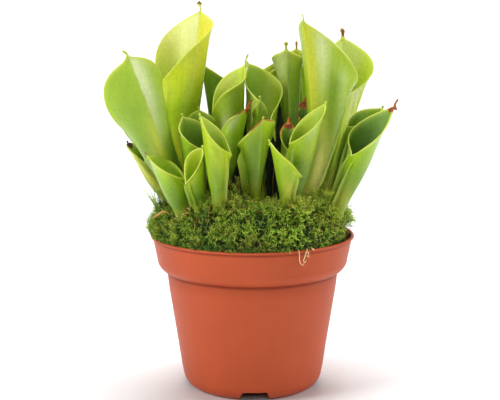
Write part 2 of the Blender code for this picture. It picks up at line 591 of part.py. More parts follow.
LEAVES = [made[1] for made in (
    # The tall pitchers on the left, and the low ones in front of them.
    pitcher("pitcher_01", fresh_green, crown="left", root=(-41, -4), tip=(-69.5, -33.0, 197.7),
            lip=(-65.4, -10.3, 148.5), mouth=33.6, tube=11, roll=8.9, shoulder=0.25, widen=1.35, deepen=1.5,
            spoon=4.5, lift=2.0, sway=1.3, skew=-0.2, cusp=0.1, beak=0.11),
    pitcher("pitcher_02", yellow_green, crown="left", root=(-36, 14), tip=(-30.5, 24.0, 221.3),
            lip=(-57.7, 10.6, 176.2), mouth=38.5, tube=11, roll=8.7, shoulder=0.4, lift=0.5, sway=8.0, widen=1.05,
            spoon=6.5, bow=(-3.5, 0, 0), skew=0.02, cusp=0.06, beak=0.22),
    pitcher("pitcher_03", deep_green, crown="rear_left", root=(-16, 22), tip=(-31, 28, 190), lip=(-14, 42, 172),
            mouth=18, tube=7, spoon=2.5, widen=2.5),
    pitcher("pitcher_04", fresh_green, crown="middle", root=(-12, 2), tip=(-3.7, 2, 191.6), lip=(-23.9, -0.1, 163),
            mouth=19.0, tube=7, sway=8.0, spoon=5.0, roll=12.5, shoulder=0.3, lift=1.5, skew=-0.16, cusp=0.12,
            beak=0.06),
    pitcher("pitcher_05", fresh_green, crown="middle", root=(4, 4), tip=(-3.2, 18.3, 190.5), lip=(11.2, 7.2, 157.3),
            mouth=31.3, tube=7.5, lift=6.0, sway=8.0, spoon=5.0, roll=4.5, shoulder=-0.02, skew=0.28, cusp=0.08,
            beak=0.16),
    pitcher("pitcher_06", deep_green, crown="rear_right", root=(22, 18.5), tip=(20, 22.8, 199), lip=(22, 33.8, 186),
            mouth=19, tube=10, widen=4.0, spoon=5.0, bow=(1.5, 0, 0), cusp=0.25),
    pitcher("pitcher_07", fresh_green, crown="rear_right", root=(27, 30), tip=(27, 46, 198), lip=(27, 36, 187),
            mouth=16, tube=7, spoon=5.0),
    pitcher("pitcher_08", fresh_green, crown="right", root=(31, -10), tip=(28.6, -16.0, 216.8),
            lip=(49.9, 9.1, 175.7), mouth=29.1, tube=10, bow=(5, -2, 0), lift=5.4, sway=-2.0, widen=1.5, spoon=5.0,
            roll=6.4, shoulder=-0.35, skew=0.21, cusp=0.06, beak=0.06, deepen=2.4),
    pitcher("pitcher_09", yellow_green, crown="far_right", root=(43, 14), tip=(54.3, 34.0, 205.4),
            lip=(59.7, 23.7, 172.7), mouth=30.0, tube=9, bow=(1, 2, 0), spoon=6.0, roll=10.4, shoulder=0.03,
            lift=5.9, sway=3.9, skew=-0.01, cusp=0.09, beak=0.1, widen=2.2),
    pitcher("pitcher_10", fresh_green, crown="far_right", root=(48, -14), tip=(81.7, -16.0, 168.8),
            lip=(55.4, -25.2, 140.9), mouth=23.0, tube=9, roll=14.0, sway=2.6, spoon=4.0, shoulder=-0.23, lift=3.3,
            skew=-0.08, cusp=0.18, beak=0.14, widen=1.6, deepen=2.8),
    pitcher("pitcher_11", deep_green, crown="far_right", root=(48, 0), tip=(77, 8, 165), lip=(55, 1, 155), mouth=17,
            tube=7, roll=20, spoon=2.0),
    pitcher("pitcher_12", fresh_green, crown="right", root=(24, -24), tip=(41.7, -23.0, 170.8),
            lip=(20.4, -28.8, 148.3), mouth=14.3, tube=7, roll=15.5, spoon=1.5, shoulder=0.01, lift=-0.3, sway=0.6,
            skew=0.06, cusp=0.09, beak=0.11),
    pitcher("pitcher_13", fresh_green, crown="right", root=(19, -33), tip=(9, -39, 151), lip=(28, -38, 131),
            mouth=13, tube=6, spoon=1.5, deepen=2.6, beak=0.2),
    pitcher("pitcher_14", fresh_green, crown="middle", root=(1, -24), tip=(6, -36, 163), lip=(-1, -18, 145),
            mouth=26, tube=6, roll=24, widen=2.2, wing=3.0, spoon=2.0, wing_angle=0.95),
    pitcher("pitcher_15", yellow_green, crown="front_left", root=(-20, -37), tip=(-29.5, -43.0, 166.0),
            lip=(-11.3, -39.3, 143.6), mouth=17.5, tube=6, roll=-24.0, spoon=1.5, shoulder=-0.03, lift=0.1, sway=1.1,
            deepen=2.4, skew=0.01, cusp=0.15, beak=0.18),
    pitcher("pitcher_16", fresh_green, crown="left", root=(-33, -14), tip=(-40.8, -14.0, 162.7),
            lip=(-27.9, -21.7, 144.1), mouth=19.7, tube=7, shoulder=0.04, sway=1.6, spoon=2.0, roll=-11.9, lift=1.3,
            skew=0.07, cusp=0.19),
    pitcher("pitcher_17", deep_green, crown="left", root=(-27, -2), tip=(-31, -9.5, 166), lip=(-27, 0.5, 152),
            mouth=16, tube=6.5, spoon=2.0),
    pitcher("pitcher_18", fresh_green, crown="front_left", root=(-39.5, -28), tip=(-59.3, -35.5, 142.3),
            lip=(-37.3, -30.0, 128.2), mouth=19.8, tube=8, roll=-17.5, spoon=3.0, shoulder=-0.01, lift=1.2, sway=0.8,
            skew=-0.1, cusp=0.11, beak=0.18),
    pitcher("pitcher_19", deep_green, crown="left", root=(-47.5, 4), tip=(-73.5, 1, 145.5), lip=(-63, 0, 134),
            mouth=14.2, tube=7, spoon=3.0, roll=-9.1, shoulder=0.31, lift=0.9, sway=1.5, skew=-0.07, cusp=0.12),
    pitcher("pitcher_20", fresh_green, crown="front_left", root=(-30, -32), tip=(-28.0, -29.0, 146.5),
            lip=(-37.9, -41.7, 127.1), mouth=9.0, tube=6, roll=11.0, spoon=1.5, shoulder=0.2, lift=2.7, sway=0.7,
            skew=-0.09, cusp=0.13, beak=0.13),
    pitcher("pitcher_21", fresh_green, crown="middle", root=(-17, -12), tip=(-2, -14, 168), lip=(-18, -16, 155),
            mouth=14, tube=6.5, roll=-18, spoon=2.5),
    pitcher("pitcher_22", deep_green, crown="middle", root=(0, -9), tip=(4.2, -16, 172.8), lip=(5.1, -3.2, 157),
            mouth=8.0, tube=6.5, spoon=2.0, bow=(-1.5, 0, 0), roll=-0.1, shoulder=-0.08, lift=-0.8, sway=1.5,
            cusp=0.24),
    pitcher("pitcher_23", deep_green, crown="right", root=(19, -14), tip=(21.1, -10.0, 159.5),
            lip=(20.4, -17.9, 143.1), mouth=9.3, tube=6, spoon=2.5, roll=0.3, shoulder=0.01, sway=1.2, skew=-0.05,
            cusp=0.13, beak=0.13),
    pitcher("pitcher_24", deep_green, crown="rear_right", root=(28, 4), tip=(31.2, 12.0, 170.2),
            lip=(29.8, 4.5, 157.2), mouth=8.0, tube=6.5, spoon=3.0, roll=-4.0, lift=-0.7),
    pitcher("pitcher_25", fresh_green, crown="rear_right", root=(11, 27), tip=(17.4, 43, 192.4),
            lip=(0.8, 39.1, 176.5), mouth=18.9, tube=7.5, spoon=3.0, shoulder=0.02, lift=0.2, sway=2.5, skew=-0.01),
    # The low outer pitchers at the rear.
    pitcher("pitcher_26", fresh_green, crown="rear_left", root=(-28, 30), tip=(-45, 52, 161), lip=(-40, 40, 145),
            mouth=20, tube=7.5, spoon=3.0),
    pitcher("pitcher_27", deep_green, crown="rear_left", root=(-13, 36), tip=(-15, 56, 154), lip=(-13, 45, 142),
            mouth=17, tube=7, spoon=2.5),
    pitcher("pitcher_28", fresh_green, crown="rear_right", root=(14, 36), tip=(6, 57, 158), lip=(8, 47, 144),
            mouth=18, tube=7, spoon=2.5),
    pitcher("pitcher_29", fresh_green, crown="rear_right", root=(38, 30), tip=(49, 56, 163), lip=(45, 44, 148),
            mouth=20, tube=7.5, spoon=3.0),
    pitcher("pitcher_30", fresh_green, crown="rear_left", root=(-38, 33), tip=(-66, 35, 160), lip=(-57, 29, 144),
            mouth=19, tube=7.5, spoon=3.0),
)]

rhizome_brown = material("rhizome_brown", (0.16, 0.09, 0.05), 0.8)
CROWN_RADII = {crown: crown_body(crown, LEAVES, rhizome_brown) for crown in CROWNS}
pot(material("terracotta_plastic", (0.62, 0.17, 0.07), 0.42))
soil(material("potting_mix", (0.045, 0.028, 0.018), 0.95), CROWN_RADII)
moss(material("moss_green", (0.13, 0.21, 0.03), 0.95), CROWN_RADII, LEAVES)
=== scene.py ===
"""The looks of the potted pitcher plant: pot, mix, crowns, thirty pitchers, moss and the bits that lie in it.

Shapes are worked out in millimetres and scaled to metres when a piece is finished. The origin is the middle
of the pot's foot, +Z is up and the plant's front faces -Y.
"""

import math
import random

import bmesh
import bpy
import numpy as np
from mathutils import Matrix, Vector, noise


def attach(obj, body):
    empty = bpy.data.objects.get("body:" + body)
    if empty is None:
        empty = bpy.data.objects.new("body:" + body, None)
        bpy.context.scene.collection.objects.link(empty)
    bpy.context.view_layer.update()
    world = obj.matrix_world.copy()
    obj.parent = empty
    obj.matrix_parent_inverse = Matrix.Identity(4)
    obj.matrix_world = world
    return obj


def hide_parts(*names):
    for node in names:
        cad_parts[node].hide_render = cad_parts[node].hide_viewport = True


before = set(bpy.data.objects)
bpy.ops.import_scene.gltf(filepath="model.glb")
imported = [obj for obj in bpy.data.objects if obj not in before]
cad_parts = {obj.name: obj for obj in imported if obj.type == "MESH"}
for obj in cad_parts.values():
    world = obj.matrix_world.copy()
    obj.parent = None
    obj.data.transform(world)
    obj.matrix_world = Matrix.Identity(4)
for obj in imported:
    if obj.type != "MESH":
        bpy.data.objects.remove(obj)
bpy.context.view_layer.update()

# --- Pot ---------------------------------------------------------------------------------------------------
# A round nursery pot, injection moulded in one piece of satin terracotta-coloured plastic. Its profile is
# spun once round; the foot ring is then notched in four places and the floor drilled with five drain holes.

POT_HEIGHT = 91.9
WALL = 1.2
COLLAR_FOOT = 69.9            # where the wide collar starts
COLLAR_RADIUS = 56.3
COLLAR_ROUNDING = 8.1
BODY_TOP_RADIUS = 50.9
FOOT_RADIUS = 41.3
FOOT_ROUNDING = 10.0
FOOT_RING = (28.5, 32.0)
FLOOR_UNDER = 3.2
FLOOR_TOP = 4.6
NOTCH_HEIGHT = 6.2
NOTCH_WIDTHS = (14.0, 17.0)   # at its top and at the ground
NOTCH_START = 26.0            # how far from the middle the notches start
NOTCH_TURN = 88.0             # degrees from the front notch round to the pot's right side
DRAIN_HOLES = 5
DRAIN_RADIUS = 4.0
DRAIN_CIRCLE = 19.0           # radius of the circle that the drain holes stand on
POT_SIDES = 240


def on_circle(radius, heading):
    return radius * math.cos(heading), radius * math.sin(heading)


def arc(centre, radius, start, end, count):
    angles = np.radians(np.linspace(start, end, count))
    return [(centre[0] + radius * math.cos(a), centre[1] + radius * math.sin(a)) for a in angles]


def turned(profile, sides):
    """Spin a profile of (radius, height) points once round the pot's axis."""
    spun = bmesh.new()
    points = [spun.verts.new((r, 0.0, z)) for r, z in profile]
    edges = [spun.edges.new(pair) for pair in zip(points[:-1], points[1:])]
    bmesh.ops.spin(
        spun, geom=points + edges, cent=(0.0, 0.0, 0.0), axis=(0.0, 0.0, 1.0),
        angle=2.0 * math.pi, steps=sides, use_merge=True, use_duplicate=False,
    )
    bmesh.ops.remove_doubles(spun, verts=spun.verts, dist=1e-4)
    bmesh.ops.recalc_face_normals(spun, faces=spun.faces)
    return spun


def set_down(shape, name, finish, sharp=40.0):
    """Scale a finished shape to metres, and put it in the scene with its finish.

    It is shaded smooth, except over edges that turn by more than the given angle.
    """
    bmesh.ops.scale(shape, verts=shape.verts, vec=(0.001, 0.001, 0.001))
    mesh = bpy.data.meshes.new(name)
    shape.to_mesh(mesh)
    shape.free()
    mesh.shade_smooth()
    mesh.set_sharp_from_angle(angle=math.radians(sharp))
    made = bpy.data.objects.new(name, mesh)
    bpy.context.scene.collection.objects.link(made)
    if finish:
        mesh.materials.append(finish)
    return made


def drill(piece, cutters):
    """Cut a group of solids out of a piece, and keep only the result."""
    group = bpy.data.collections.new("cutters")
    for cutter in cutters:
        bpy.context.scene.collection.objects.unlink(cutter)
        group.objects.link(cutter)
    bpy.context.scene.collection.children.link(group)
    hole = piece.modifiers.new("drill", "BOOLEAN")
    hole.operation, hole.operand_type, hole.collection, hole.solver = "DIFFERENCE", "COLLECTION", group, "EXACT"
    bpy.context.view_layer.update()
    drilled = bpy.data.meshes.new_from_object(piece.evaluated_get(bpy.context.evaluated_depsgraph_get()))
    piece.modifiers.clear()
    piece.data = drilled
    for cutter in cutters:
        bpy.data.objects.remove(cutter, do_unlink=True)
    bpy.data.collections.remove(group)


def new_finish(name):
    made = bpy.data.materials.new(name)
    made.use_nodes = True
    return made


def wire(finish, kind, inputs=None, **settings):
    """Add one shader node to a finish, and feed its inputs with values or with other nodes' outputs."""
    made = finish.node_tree.nodes.new("ShaderNode" + kind)
    for name, value in settings.items():
        setattr(made, name, value)
    for place, value in (inputs or {}).items():
        if isinstance(value, bpy.types.NodeSocket):
            finish.node_tree.links.new(value, made.inputs[place])
        else:
            made.inputs[place].default_value = value
    return made


def blend(finish, share, first, second, way="MIX"):
    made = wire(finish, "Mix", {0: share, 6: first, 7: second}, data_type="RGBA", blend_type=way)
    return made.outputs[2]


def ramp(finish, share, stops):
    made = wire(finish, "ValToRGB", {0: share})
    marks = made.color_ramp.elements
    while len(marks) < len(stops):
        marks.new(0.5)
    for mark, (place, colour) in zip(marks, stops):
        mark.position = place
        mark.color = (*colour, 1.0)
    return made.outputs[0]


def fade(finish, share, low, high, start=0.3, end=0.7):
    """A grey that runs from low to high while the share runs from start to end."""
    return ramp(finish, share, [(start, (low, low, low)), (end, (high, high, high))])


def tinted(finish, colour, tint, share=1.0):
    return blend(finish, share, colour, tint, "MULTIPLY")


def sums(finish, way, first, second):
    return wire(finish, "Math", {0: first, 1: second}, operation=way).outputs[0]


def times(finish, first, second):
    return sums(finish, "MULTIPLY", first, second)


def plus(finish, first, second):
    return sums(finish, "ADD", first, second)


def painted(finish, name):
    """The paint value of that name, which the piece's own corners carry."""
    return wire(finish, "Attribute", attribute_name=name).outputs["Fac"]


def object_place(finish):
    return wire(finish, "TexCoord").outputs["Object"]


def grain(finish, scale, detail=3.0, stretch=(1.0, 1.0, 1.0), roughness=0.55):
    """Noise fixed to the piece, its scale in features per metre."""
    laid = wire(finish, "Mapping", {"Vector": object_place(finish), "Scale": stretch}).outputs[0]
    made = wire(finish, "TexNoise", {"Vector": laid, "Scale": scale, "Detail": detail, "Roughness": roughness})
    return made.outputs["Fac"]


def surface(finish, colour, roughness, height, depth, strength=1.0, **constants):
    """Feed the finish's own shader: colour, roughness and bump are linked, all else is set as a constant."""
    shader = finish.node_tree.nodes["Principled BSDF"]
    links = finish.node_tree.links
    links.new(colour, shader.inputs["Base Color"])
    links.new(roughness, shader.inputs["Roughness"])
    bump = wire(finish, "Bump", {"Strength": strength, "Distance": depth, "Height": height})
    links.new(bump.outputs[0], shader.inputs["Normal"])
    for name, value in constants.items():
        shader.inputs[name.replace("_", " ")].default_value = value


def satin_plastic():
    finish = new_finish("satin_terracotta_plastic")
    clouds = grain(finish, 22.0, 4.0)
    flow = grain(finish, 60.0, 3.0, (1.0, 1.0, 0.12))
    specks = grain(finish, 1400.0, 2.0)
    colour = ramp(finish, clouds, [(0.25, (0.44, 0.072, 0.021)), (0.75, (0.53, 0.091, 0.028))])
    colour = blend(finish, 0.25, colour, ramp(finish, flow, [(0.3, (0.42, 0.068, 0.022)), (0.7, (0.56, 0.103, 0.036))]))
    # Painted shade in the two creases, under the collar and under the lip, and a painted highlight along the
    # lip's top, at heights in tenths of a metre.
    level = wire(finish, "SeparateXYZ", {0: object_place(finish)}).outputs[2]
    clean = (1.0, 1.0, 1.0)
    painted_shade_and_lip_highlight = ramp(finish, times(finish, level, 10.0), [
        (0.62, clean), (0.685, (0.84, 0.80, 0.78)), (0.694, (0.5, 0.40, 0.36)), (0.704, (0.5, 0.40, 0.36)),
        (0.712, (0.9, 0.88, 0.86)), (0.73, clean), (0.885, clean), (0.896, (0.62, 0.52, 0.48)),
        (0.903, (0.62, 0.52, 0.48)), (0.908, (1.1, 1.12, 1.12))])
    colour = tinted(finish, colour, painted_shade_and_lip_highlight)
    worn = fade(finish, specks, 0.0, 1.0, 0.70, 0.80)
    colour = blend(finish, times(finish, worn, 0.12), colour, (0.66, 0.28, 0.19, 1.0))
    roughness = fade(finish, plus(finish, times(finish, clouds, 0.5), times(finish, specks, 0.5)), 0.40, 0.56)
    height = plus(finish, times(finish, specks, 0.35), flow)
    surface(finish, colour, roughness, height, 0.00012, 0.6, Specular_IOR_Level=0.22)
    return finish


foot_arc = arc((FOOT_RADIUS - FOOT_ROUNDING, FOOT_ROUNDING), FOOT_ROUNDING, -80.0, -5.0, 14)
collar_arc = arc((COLLAR_RADIUS - COLLAR_ROUNDING, COLLAR_FOOT + COLLAR_ROUNDING), COLLAR_ROUNDING, -70.0, -3.0, 12)
outside = (
    [(0.0, FLOOR_UNDER), (14.0, FLOOR_UNDER), (25.0, FLOOR_UNDER), (FOOT_RING[0] - 0.3, FLOOR_UNDER)]
    + [(FOOT_RING[0], 0.3), (FOOT_RING[0] + 0.3, 0.0), (FOOT_RING[1] - 0.6, 0.0)] + foot_arc
    + [(42.1, 13.0), (44.2, 27.0), (47.0, 45.0), (49.4, 60.0), (50.4, 68.3), (50.3, 69.5)] + collar_arc
    + [(57.4, 83.0), (58.4, 88.0), (58.7, 89.9), (59.5, 90.25), (60.0, 90.7), (60.0, 91.4), (59.85, 91.75)]
)
inside = (
    [(59.5, POT_HEIGHT), (58.6, POT_HEIGHT), (58.32, 91.6), (58.1, 90.3), (COLLAR_RADIUS - WALL, 78.0)]
    + [(53.9, 74.6), (52.4, 72.4), (BODY_TOP_RADIUS - WALL, 71.1), (45.0, 40.0), (40.1, FOOT_ROUNDING)]
    + [(39.5, 7.6), (38.4, 5.6), (36.5, FLOOR_TOP), (25.0, FLOOR_TOP), (14.0, FLOOR_TOP), (0.0, FLOOR_TOP)]
)
moulding = turned(outside + inside, POT_SIDES)
for corner in moulding.verts:
    reach = math.hypot(corner.co.x, corner.co.y)
    off_notch = (math.degrees(math.atan2(corner.co.y, corner.co.x)) + NOTCH_TURN + 45.0) % 90.0 - 45.0
    half_width = NOTCH_WIDTHS[0] + (NOTCH_WIDTHS[1] - NOTCH_WIDTHS[0]) * (1.0 - corner.co.z / NOTCH_HEIGHT)
    on_top = reach < FOOT_RADIUS - 2.3 and corner.co.z > FLOOR_UNDER + 0.5
    ceiling = NOTCH_HEIGHT + WALL if on_top else NOTCH_HEIGHT
    if corner.co.z < ceiling and reach > NOTCH_START and reach * math.radians(abs(off_notch)) < half_width / 2.0:
        corner.co.z = ceiling
pot_shell = set_down(moulding, "pot_shell", satin_plastic(), 32.0)
drills = []
for number in range(DRAIN_HOLES):
    drill_bit = bmesh.new()
    bmesh.ops.create_cone(
        drill_bit, cap_ends=True, segments=40, radius1=DRAIN_RADIUS, radius2=DRAIN_RADIUS, depth=8.0)
    place = on_circle(DRAIN_CIRCLE, 2.0 * math.pi * (number + 0.5) / DRAIN_HOLES)
    bmesh.ops.translate(drill_bit, verts=drill_bit.verts, vec=(*place, 4.0))
    drills.append(set_down(drill_bit, f"drill_bit_{number}", None))
drill(pot_shell, drills)
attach(pot_shell, "root")
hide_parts("pot")

# --- Potting mix -------------------------------------------------------------------------------------------
# Loose dark peat with bark and a little perlite, pressed into the pot. Only its underside shows, through the
# drain holes, so the solid from the frame keeps its shape and gets the grain.


def loose_mix():
    finish = new_finish("peat_and_bark")
    crumbs = grain(finish, 260.0, 5.0)
    cells = wire(finish, "TexVoronoi", {"Vector": object_place(finish), "Scale": 320.0})
    colour = ramp(finish, crumbs, [
        (0.3, (0.012, 0.008, 0.005)), (0.55, (0.05, 0.03, 0.016)), (0.8, (0.13, 0.085, 0.05))])
    pale = fade(finish, cells.outputs["Distance"], 1.0, 0.0, 0.02, 0.10)
    colour = blend(finish, times(finish, pale, 0.5), colour, (0.42, 0.38, 0.30, 1.0))
    roughness = fade(finish, crumbs, 0.85, 0.98)
    surface(finish, colour, roughness, plus(finish, crumbs, cells.outputs["Distance"]), 0.0012)
    return finish


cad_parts["soil"].material_slots[0].material = loose_mix()

# --- Rhizome crowns ----------------------------------------------------------------------------------------
# The short woody stems that the pitchers grow from, with their main roots, sealed between mix and moss.
# They keep the frame's shapes and get a scaly brown skin.


def woody_skin():
    finish = new_finish("scaly_rhizome_skin")
    fibres = grain(finish, 180.0, 4.0, (1.0, 1.0, 0.25))
    scales = grain(finish, 420.0, 3.0)
    colour = ramp(finish, fibres, [(0.3, (0.055, 0.026, 0.012)), (0.6, (0.17, 0.09, 0.045)), (0.8, (0.30, 0.19, 0.10))])
    colour = blend(finish, 0.3, colour, ramp(finish, scales, [(0.4, (0.08, 0.04, 0.02)), (0.7, (0.34, 0.22, 0.12))]))
    roughness = fade(finish, scales, 0.65, 0.88)
    surface(finish, colour, roughness, plus(finish, fibres, scales), 0.0006)
    return finish


rhizome_skin = woody_skin()
for crown in ("front_left", "left", "middle", "right", "far_right", "rear_right", "rear_left"):
    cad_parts[f"rhizome_{crown}"].material_slots[0].material = rhizome_skin

# --- Pitchers ----------------------------------------------------------------------------------------------
# Thirty leaves, each rolled into a tall funnel with an oblique mouth: soft waxy leaf tissue under a
# millimetre thick, with a midrib up the back, two wings down the front and a nectar spoon on the tip.
# Each is one flat grid, its corners moved by formula into the outside, the rounded rim and the inside.

CROWNS = {
    "front_left": (-32.0, -28.0), "left": (-37.0, 0.0), "middle": (-2.0, -9.0), "right": (23.0, -18.0),
    "far_right": (43.0, -1.0), "rear_right": (21.0, 20.0), "rear_left": (-15.0, 25.0),
}
SOCKET_SPREAD = 0.58          # how far apart the stalks stand in a crown, as a share of where they leave the moss
STALK_RADIUS = 2.3
MOUTH_POINT = 0.36            # how much the mouth narrows towards its two points
WING_THIN = 0.13              # half a wing's width at its foot, in radians
POINT_REACH = 0.32            # radians over which the rim sweeps up into the tip and out to the lip
MOSS_EDGE = 94.0              # how high the moss and the mix stand at their edge
MIX_EDGE = 83.0
MOSS_CROWN = 19.0             # how much they rise from there to the middle
MIX_CROWN = 15.0
MOSS_RADIUS = 58.0
MIX_RADIUS = 55.7
LEAF_COLUMNS = 57             # even ones, before those at the midrib and the wings
ROWS_UP, ROWS_TO_RIM = 34, 8
ROWS_FROM_RIM, ROWS_DOWN = 7, 16
WALL_AT_FOOT = 1.0            # how thick a leaf is, and how much thinner it is at its rim
WALL_THINNING = 0.3
SPOON_SIDES = 16


def smooth_step(value):
    value = np.clip(value, 0.0, 1.0)
    return value * value * (3.0 - 2.0 * value)


def unit(vectors):
    return vectors / np.linalg.norm(vectors, axis=-1, keepdims=True)


def moss_height(x, y):
    return MOSS_EDGE + MOSS_CROWN * (1.0 - np.minimum(np.hypot(x, y) / MOSS_RADIUS, 1.0) ** 6)


def mix_height(radius):
    return MIX_EDGE + MIX_CROWN * (1.0 - (radius / MIX_RADIUS) ** 2)


def spine(leaf):
    """The leaf's spine as guide points from its crown to the middle of its mouth, and its length shared out."""
    cx, cy = CROWNS[leaf["crown"]]
    x, y = leaf["root"]
    top = mix_height(math.hypot(cx, cy)) + 4.0
    foot = (cx + SOCKET_SPREAD * (x - cx), cy + SOCKET_SPREAD * (y - cy))
    root = np.array([x, y, moss_height(x, y)])
    mouth = (np.array(leaf["tip"], float) + np.array(leaf["lip"], float)) / 2.0
    guides = np.array([(*foot, top - 5.0), (*foot, top), root, (root + mouth) / 2.0 + np.array(leaf["bow"]), mouth])
    lengths = np.linalg.norm(np.diff(guides, axis=0), axis=1)
    return guides, np.concatenate([[0.0], np.cumsum(lengths)]) / lengths.sum(), lengths.sum()


def along_spine(guides, shares, rise):
    """Places and directions on the smooth curve through the guide points."""
    gaps = np.diff(shares)
    slopes = np.diff(guides, axis=0) / gaps[:, None]
    inner = (slopes[:-1] * gaps[1:, None] + slopes[1:] * gaps[:-1, None]) / (gaps[1:] + gaps[:-1])[:, None]
    turns = np.concatenate([slopes[:1], inner, slopes[-1:]])
    span = np.clip(np.searchsorted(shares, rise, side="right") - 1, 0, len(shares) - 2)
    step = gaps[span][:, None]
    t = (rise - shares[span])[:, None] / step
    a, b, m, n = guides[span], guides[span + 1], turns[span] * step, turns[span + 1] * step
    place = (2*t**3 - 3*t**2 + 1) * a + (t**3 - 2*t**2 + t) * m + (3*t**2 - 2*t**3) * b + (t**3 - t**2) * n
    way = (6*t**2 - 6*t) * a + (3*t**2 - 4*t + 1) * m + (6*t - 6*t**2) * b + (3*t**2 - 2*t) * n
    return place, unit(way)


def leaf_axes(leaf):
    """Half the chord from lip to tip, the level way to the leaf's back, and the mouth's own side."""
    half = (np.array(leaf["tip"], float) - np.array(leaf["lip"], float)) / 2.0
    back = unit(half * (1.0, 1.0, 0.0))
    side = np.cross(back, (0.0, 0.0, 1.0))
    roll = math.radians(leaf["roll"])
    return half, back, side, side * math.cos(roll) + np.cross(unit(half), side) * math.sin(roll)


def wing_turns(leaf):
    return math.pi - leaf["wing_angle"], leaf["wing_angle"] - math.pi


def off_from(turn, middle):
    """How far round a turn is from the middle one, the short way."""
    return (turn - middle + math.pi) % (2.0 * math.pi) - math.pi


def ridge(turn, middle, reach):
    return np.clip(1.0 - np.abs(off_from(turn, middle)) / reach, 0.0, 1.0)


def wing_fade(above):
    """One up the leaf, and fading out below the mouth, where the wings end."""
    return 1.0 - smooth_step((above - 0.78) / 0.2)


def pinched(leaf, turn):
    """How much the rim is drawn in beside its two points, the tip and the lip."""
    off_tip = np.abs(off_from(turn, 0.0))
    at_tip = leaf["cusp"] * (1.0 - np.exp(-off_tip / POINT_REACH))
    at_lip = leaf["beak"] * (1.0 - np.exp(-(math.pi - off_tip) / POINT_REACH))
    return np.where(off_tip < math.pi / 2.0, at_tip, at_lip)


def leaf_skin(leaf, turn, rise, trimmed=True):
    """Points on the outside: turn runs from the back (0) to the front (pi), rise from the foot to the rim."""
    guides, shares, _ = spine(leaf)
    place, way = along_spine(guides, shares, rise)
    half, back, side, mouth_side = leaf_axes(leaf)
    half_length = np.linalg.norm(half)
    above = np.clip((rise - shares[2]) / (1.0 - shares[2]), 0.0, 1.0)
    tilt = smooth_step((above - 0.15) / 0.85)[:, None]
    level_back = unit(back - way * (way @ back)[:, None])
    backwards = unit(level_back * (1.0 - tilt) + half / half_length * tilt)
    low_side = unit(np.cross(way, level_back))
    low_side = low_side * np.sign(low_side @ side)[:, None]
    sideways = unit(low_side * (1.0 - tilt) + mouth_side * tilt)

    tube = leaf["tube"] / 2.0
    stalk = STALK_RADIUS + (tube - STALK_RADIUS) * smooth_step((np.clip(rise / shares[2], 0, 1) - 0.15) / 0.85)
    width = stalk + (leaf["mouth"] / 2.0 - tube) * above ** leaf["widen"]
    depth = stalk + (half_length - tube) * above ** leaf["deepen"]
    tilt = tilt[:, 0]
    across = np.sign(np.sin(turn)) * np.abs(np.sin(turn)) ** (1.0 + MOUTH_POINT * tilt ** 2)
    lengthwise = np.cos(turn) * (1.0 - tilt ** 3 * pinched(leaf, turn))
    lengthwise = lengthwise + tilt * (leaf["shoulder"] * np.sin(turn) ** 2 + leaf["skew"] * np.sin(turn))
    points = place + backwards * (depth * lengthwise)[:, None] + sideways * (width * across)[:, None]
    normal = np.cross(unit(half), mouth_side)
    normal = normal * np.sign(normal[2])
    swell = (leaf["lift"] - leaf["sway"] * np.cos(turn)) * above ** 3 * np.sin(turn) ** 2
    points = points + normal * swell[:, None]

    outwards = unit(backwards * np.cos(turn)[:, None] + sideways * np.sin(turn)[:, None])
    beside = np.sin(turn) ** 2
    rim_roll = smooth_step((above - 0.93) / 0.07) ** 2 * 0.8 - smooth_step((above - 0.8) / 0.1) * 0.3
    ripple = np.sin(3.0 * turn + leaf["number"]) * above ** 6 * 0.35
    points = points + outwards * ((rim_roll + ripple) * beside)[:, None]
    if trimmed:
        strength = smooth_step((rise - shares[2] - 0.04) / 0.1) * wing_fade(above)
        fins = leaf["wing"] * strength * sum(ridge(turn, c, WING_THIN) for c in wing_turns(leaf))
        keel_line = leaf["keel_turn"] * (1.0 - above)
        midrib = leaf["keel"] * smooth_step(above / 0.5) * smooth_step(ridge(turn, keel_line, 0.42)) ** 2
        points = points + outwards * (fins + midrib)[:, None]
    return points


def leaf_normals(leaf, turn, rise):
    """Directions straight out of the skin, by small differences."""
    small = 1e-3
    round_way = leaf_skin(leaf, turn + small, rise, False) - leaf_skin(leaf, turn - small, rise, False)
    up_way = leaf_skin(leaf, turn, np.minimum(rise + small, 1.0), False) - leaf_skin(leaf, turn, rise - small, False)
    normals = unit(np.cross(round_way, up_way))
    guides, shares, _ = spine(leaf)
    towards = leaf_skin(leaf, turn, rise, False) - along_spine(guides, shares, rise)[0]
    return normals * np.sign(np.mean(np.sum(normals * towards, axis=-1)))


def corners_of(mesh):
    corners = np.zeros(len(mesh.vertices) * 3)
    mesh.vertices.foreach_get("co", corners)
    return corners.reshape(-1, 3)


def wrapped(cells_round, cells_along, shape):
    """A flat grid with its corners moved by a formula, which also gives each corner's paint values."""
    flat = bmesh.new()
    flat.loops.layers.uv.new("skin")
    bmesh.ops.create_grid(flat, x_segments=cells_round, y_segments=cells_along, size=0.5, calc_uvs=True)
    sheet = bpy.data.meshes.new("sheet")
    flat.to_mesh(sheet)
    flat.free()
    corners = corners_of(sheet)
    column = np.rint((corners[:, 0] + 0.5) * cells_round).astype(int)
    row = np.rint((corners[:, 1] + 0.5) * cells_along).astype(int)
    places, paint = shape(column, row)
    sheet.vertices.foreach_set("co", np.ascontiguousarray(places, dtype=np.float32).ravel())
    for name, values in paint.items():
        layer = sheet.attributes.new(name, "FLOAT", "POINT")
        layer.data.foreach_set("value", np.ascontiguousarray(values, dtype=np.float32))
    sheet.update()
    return sheet


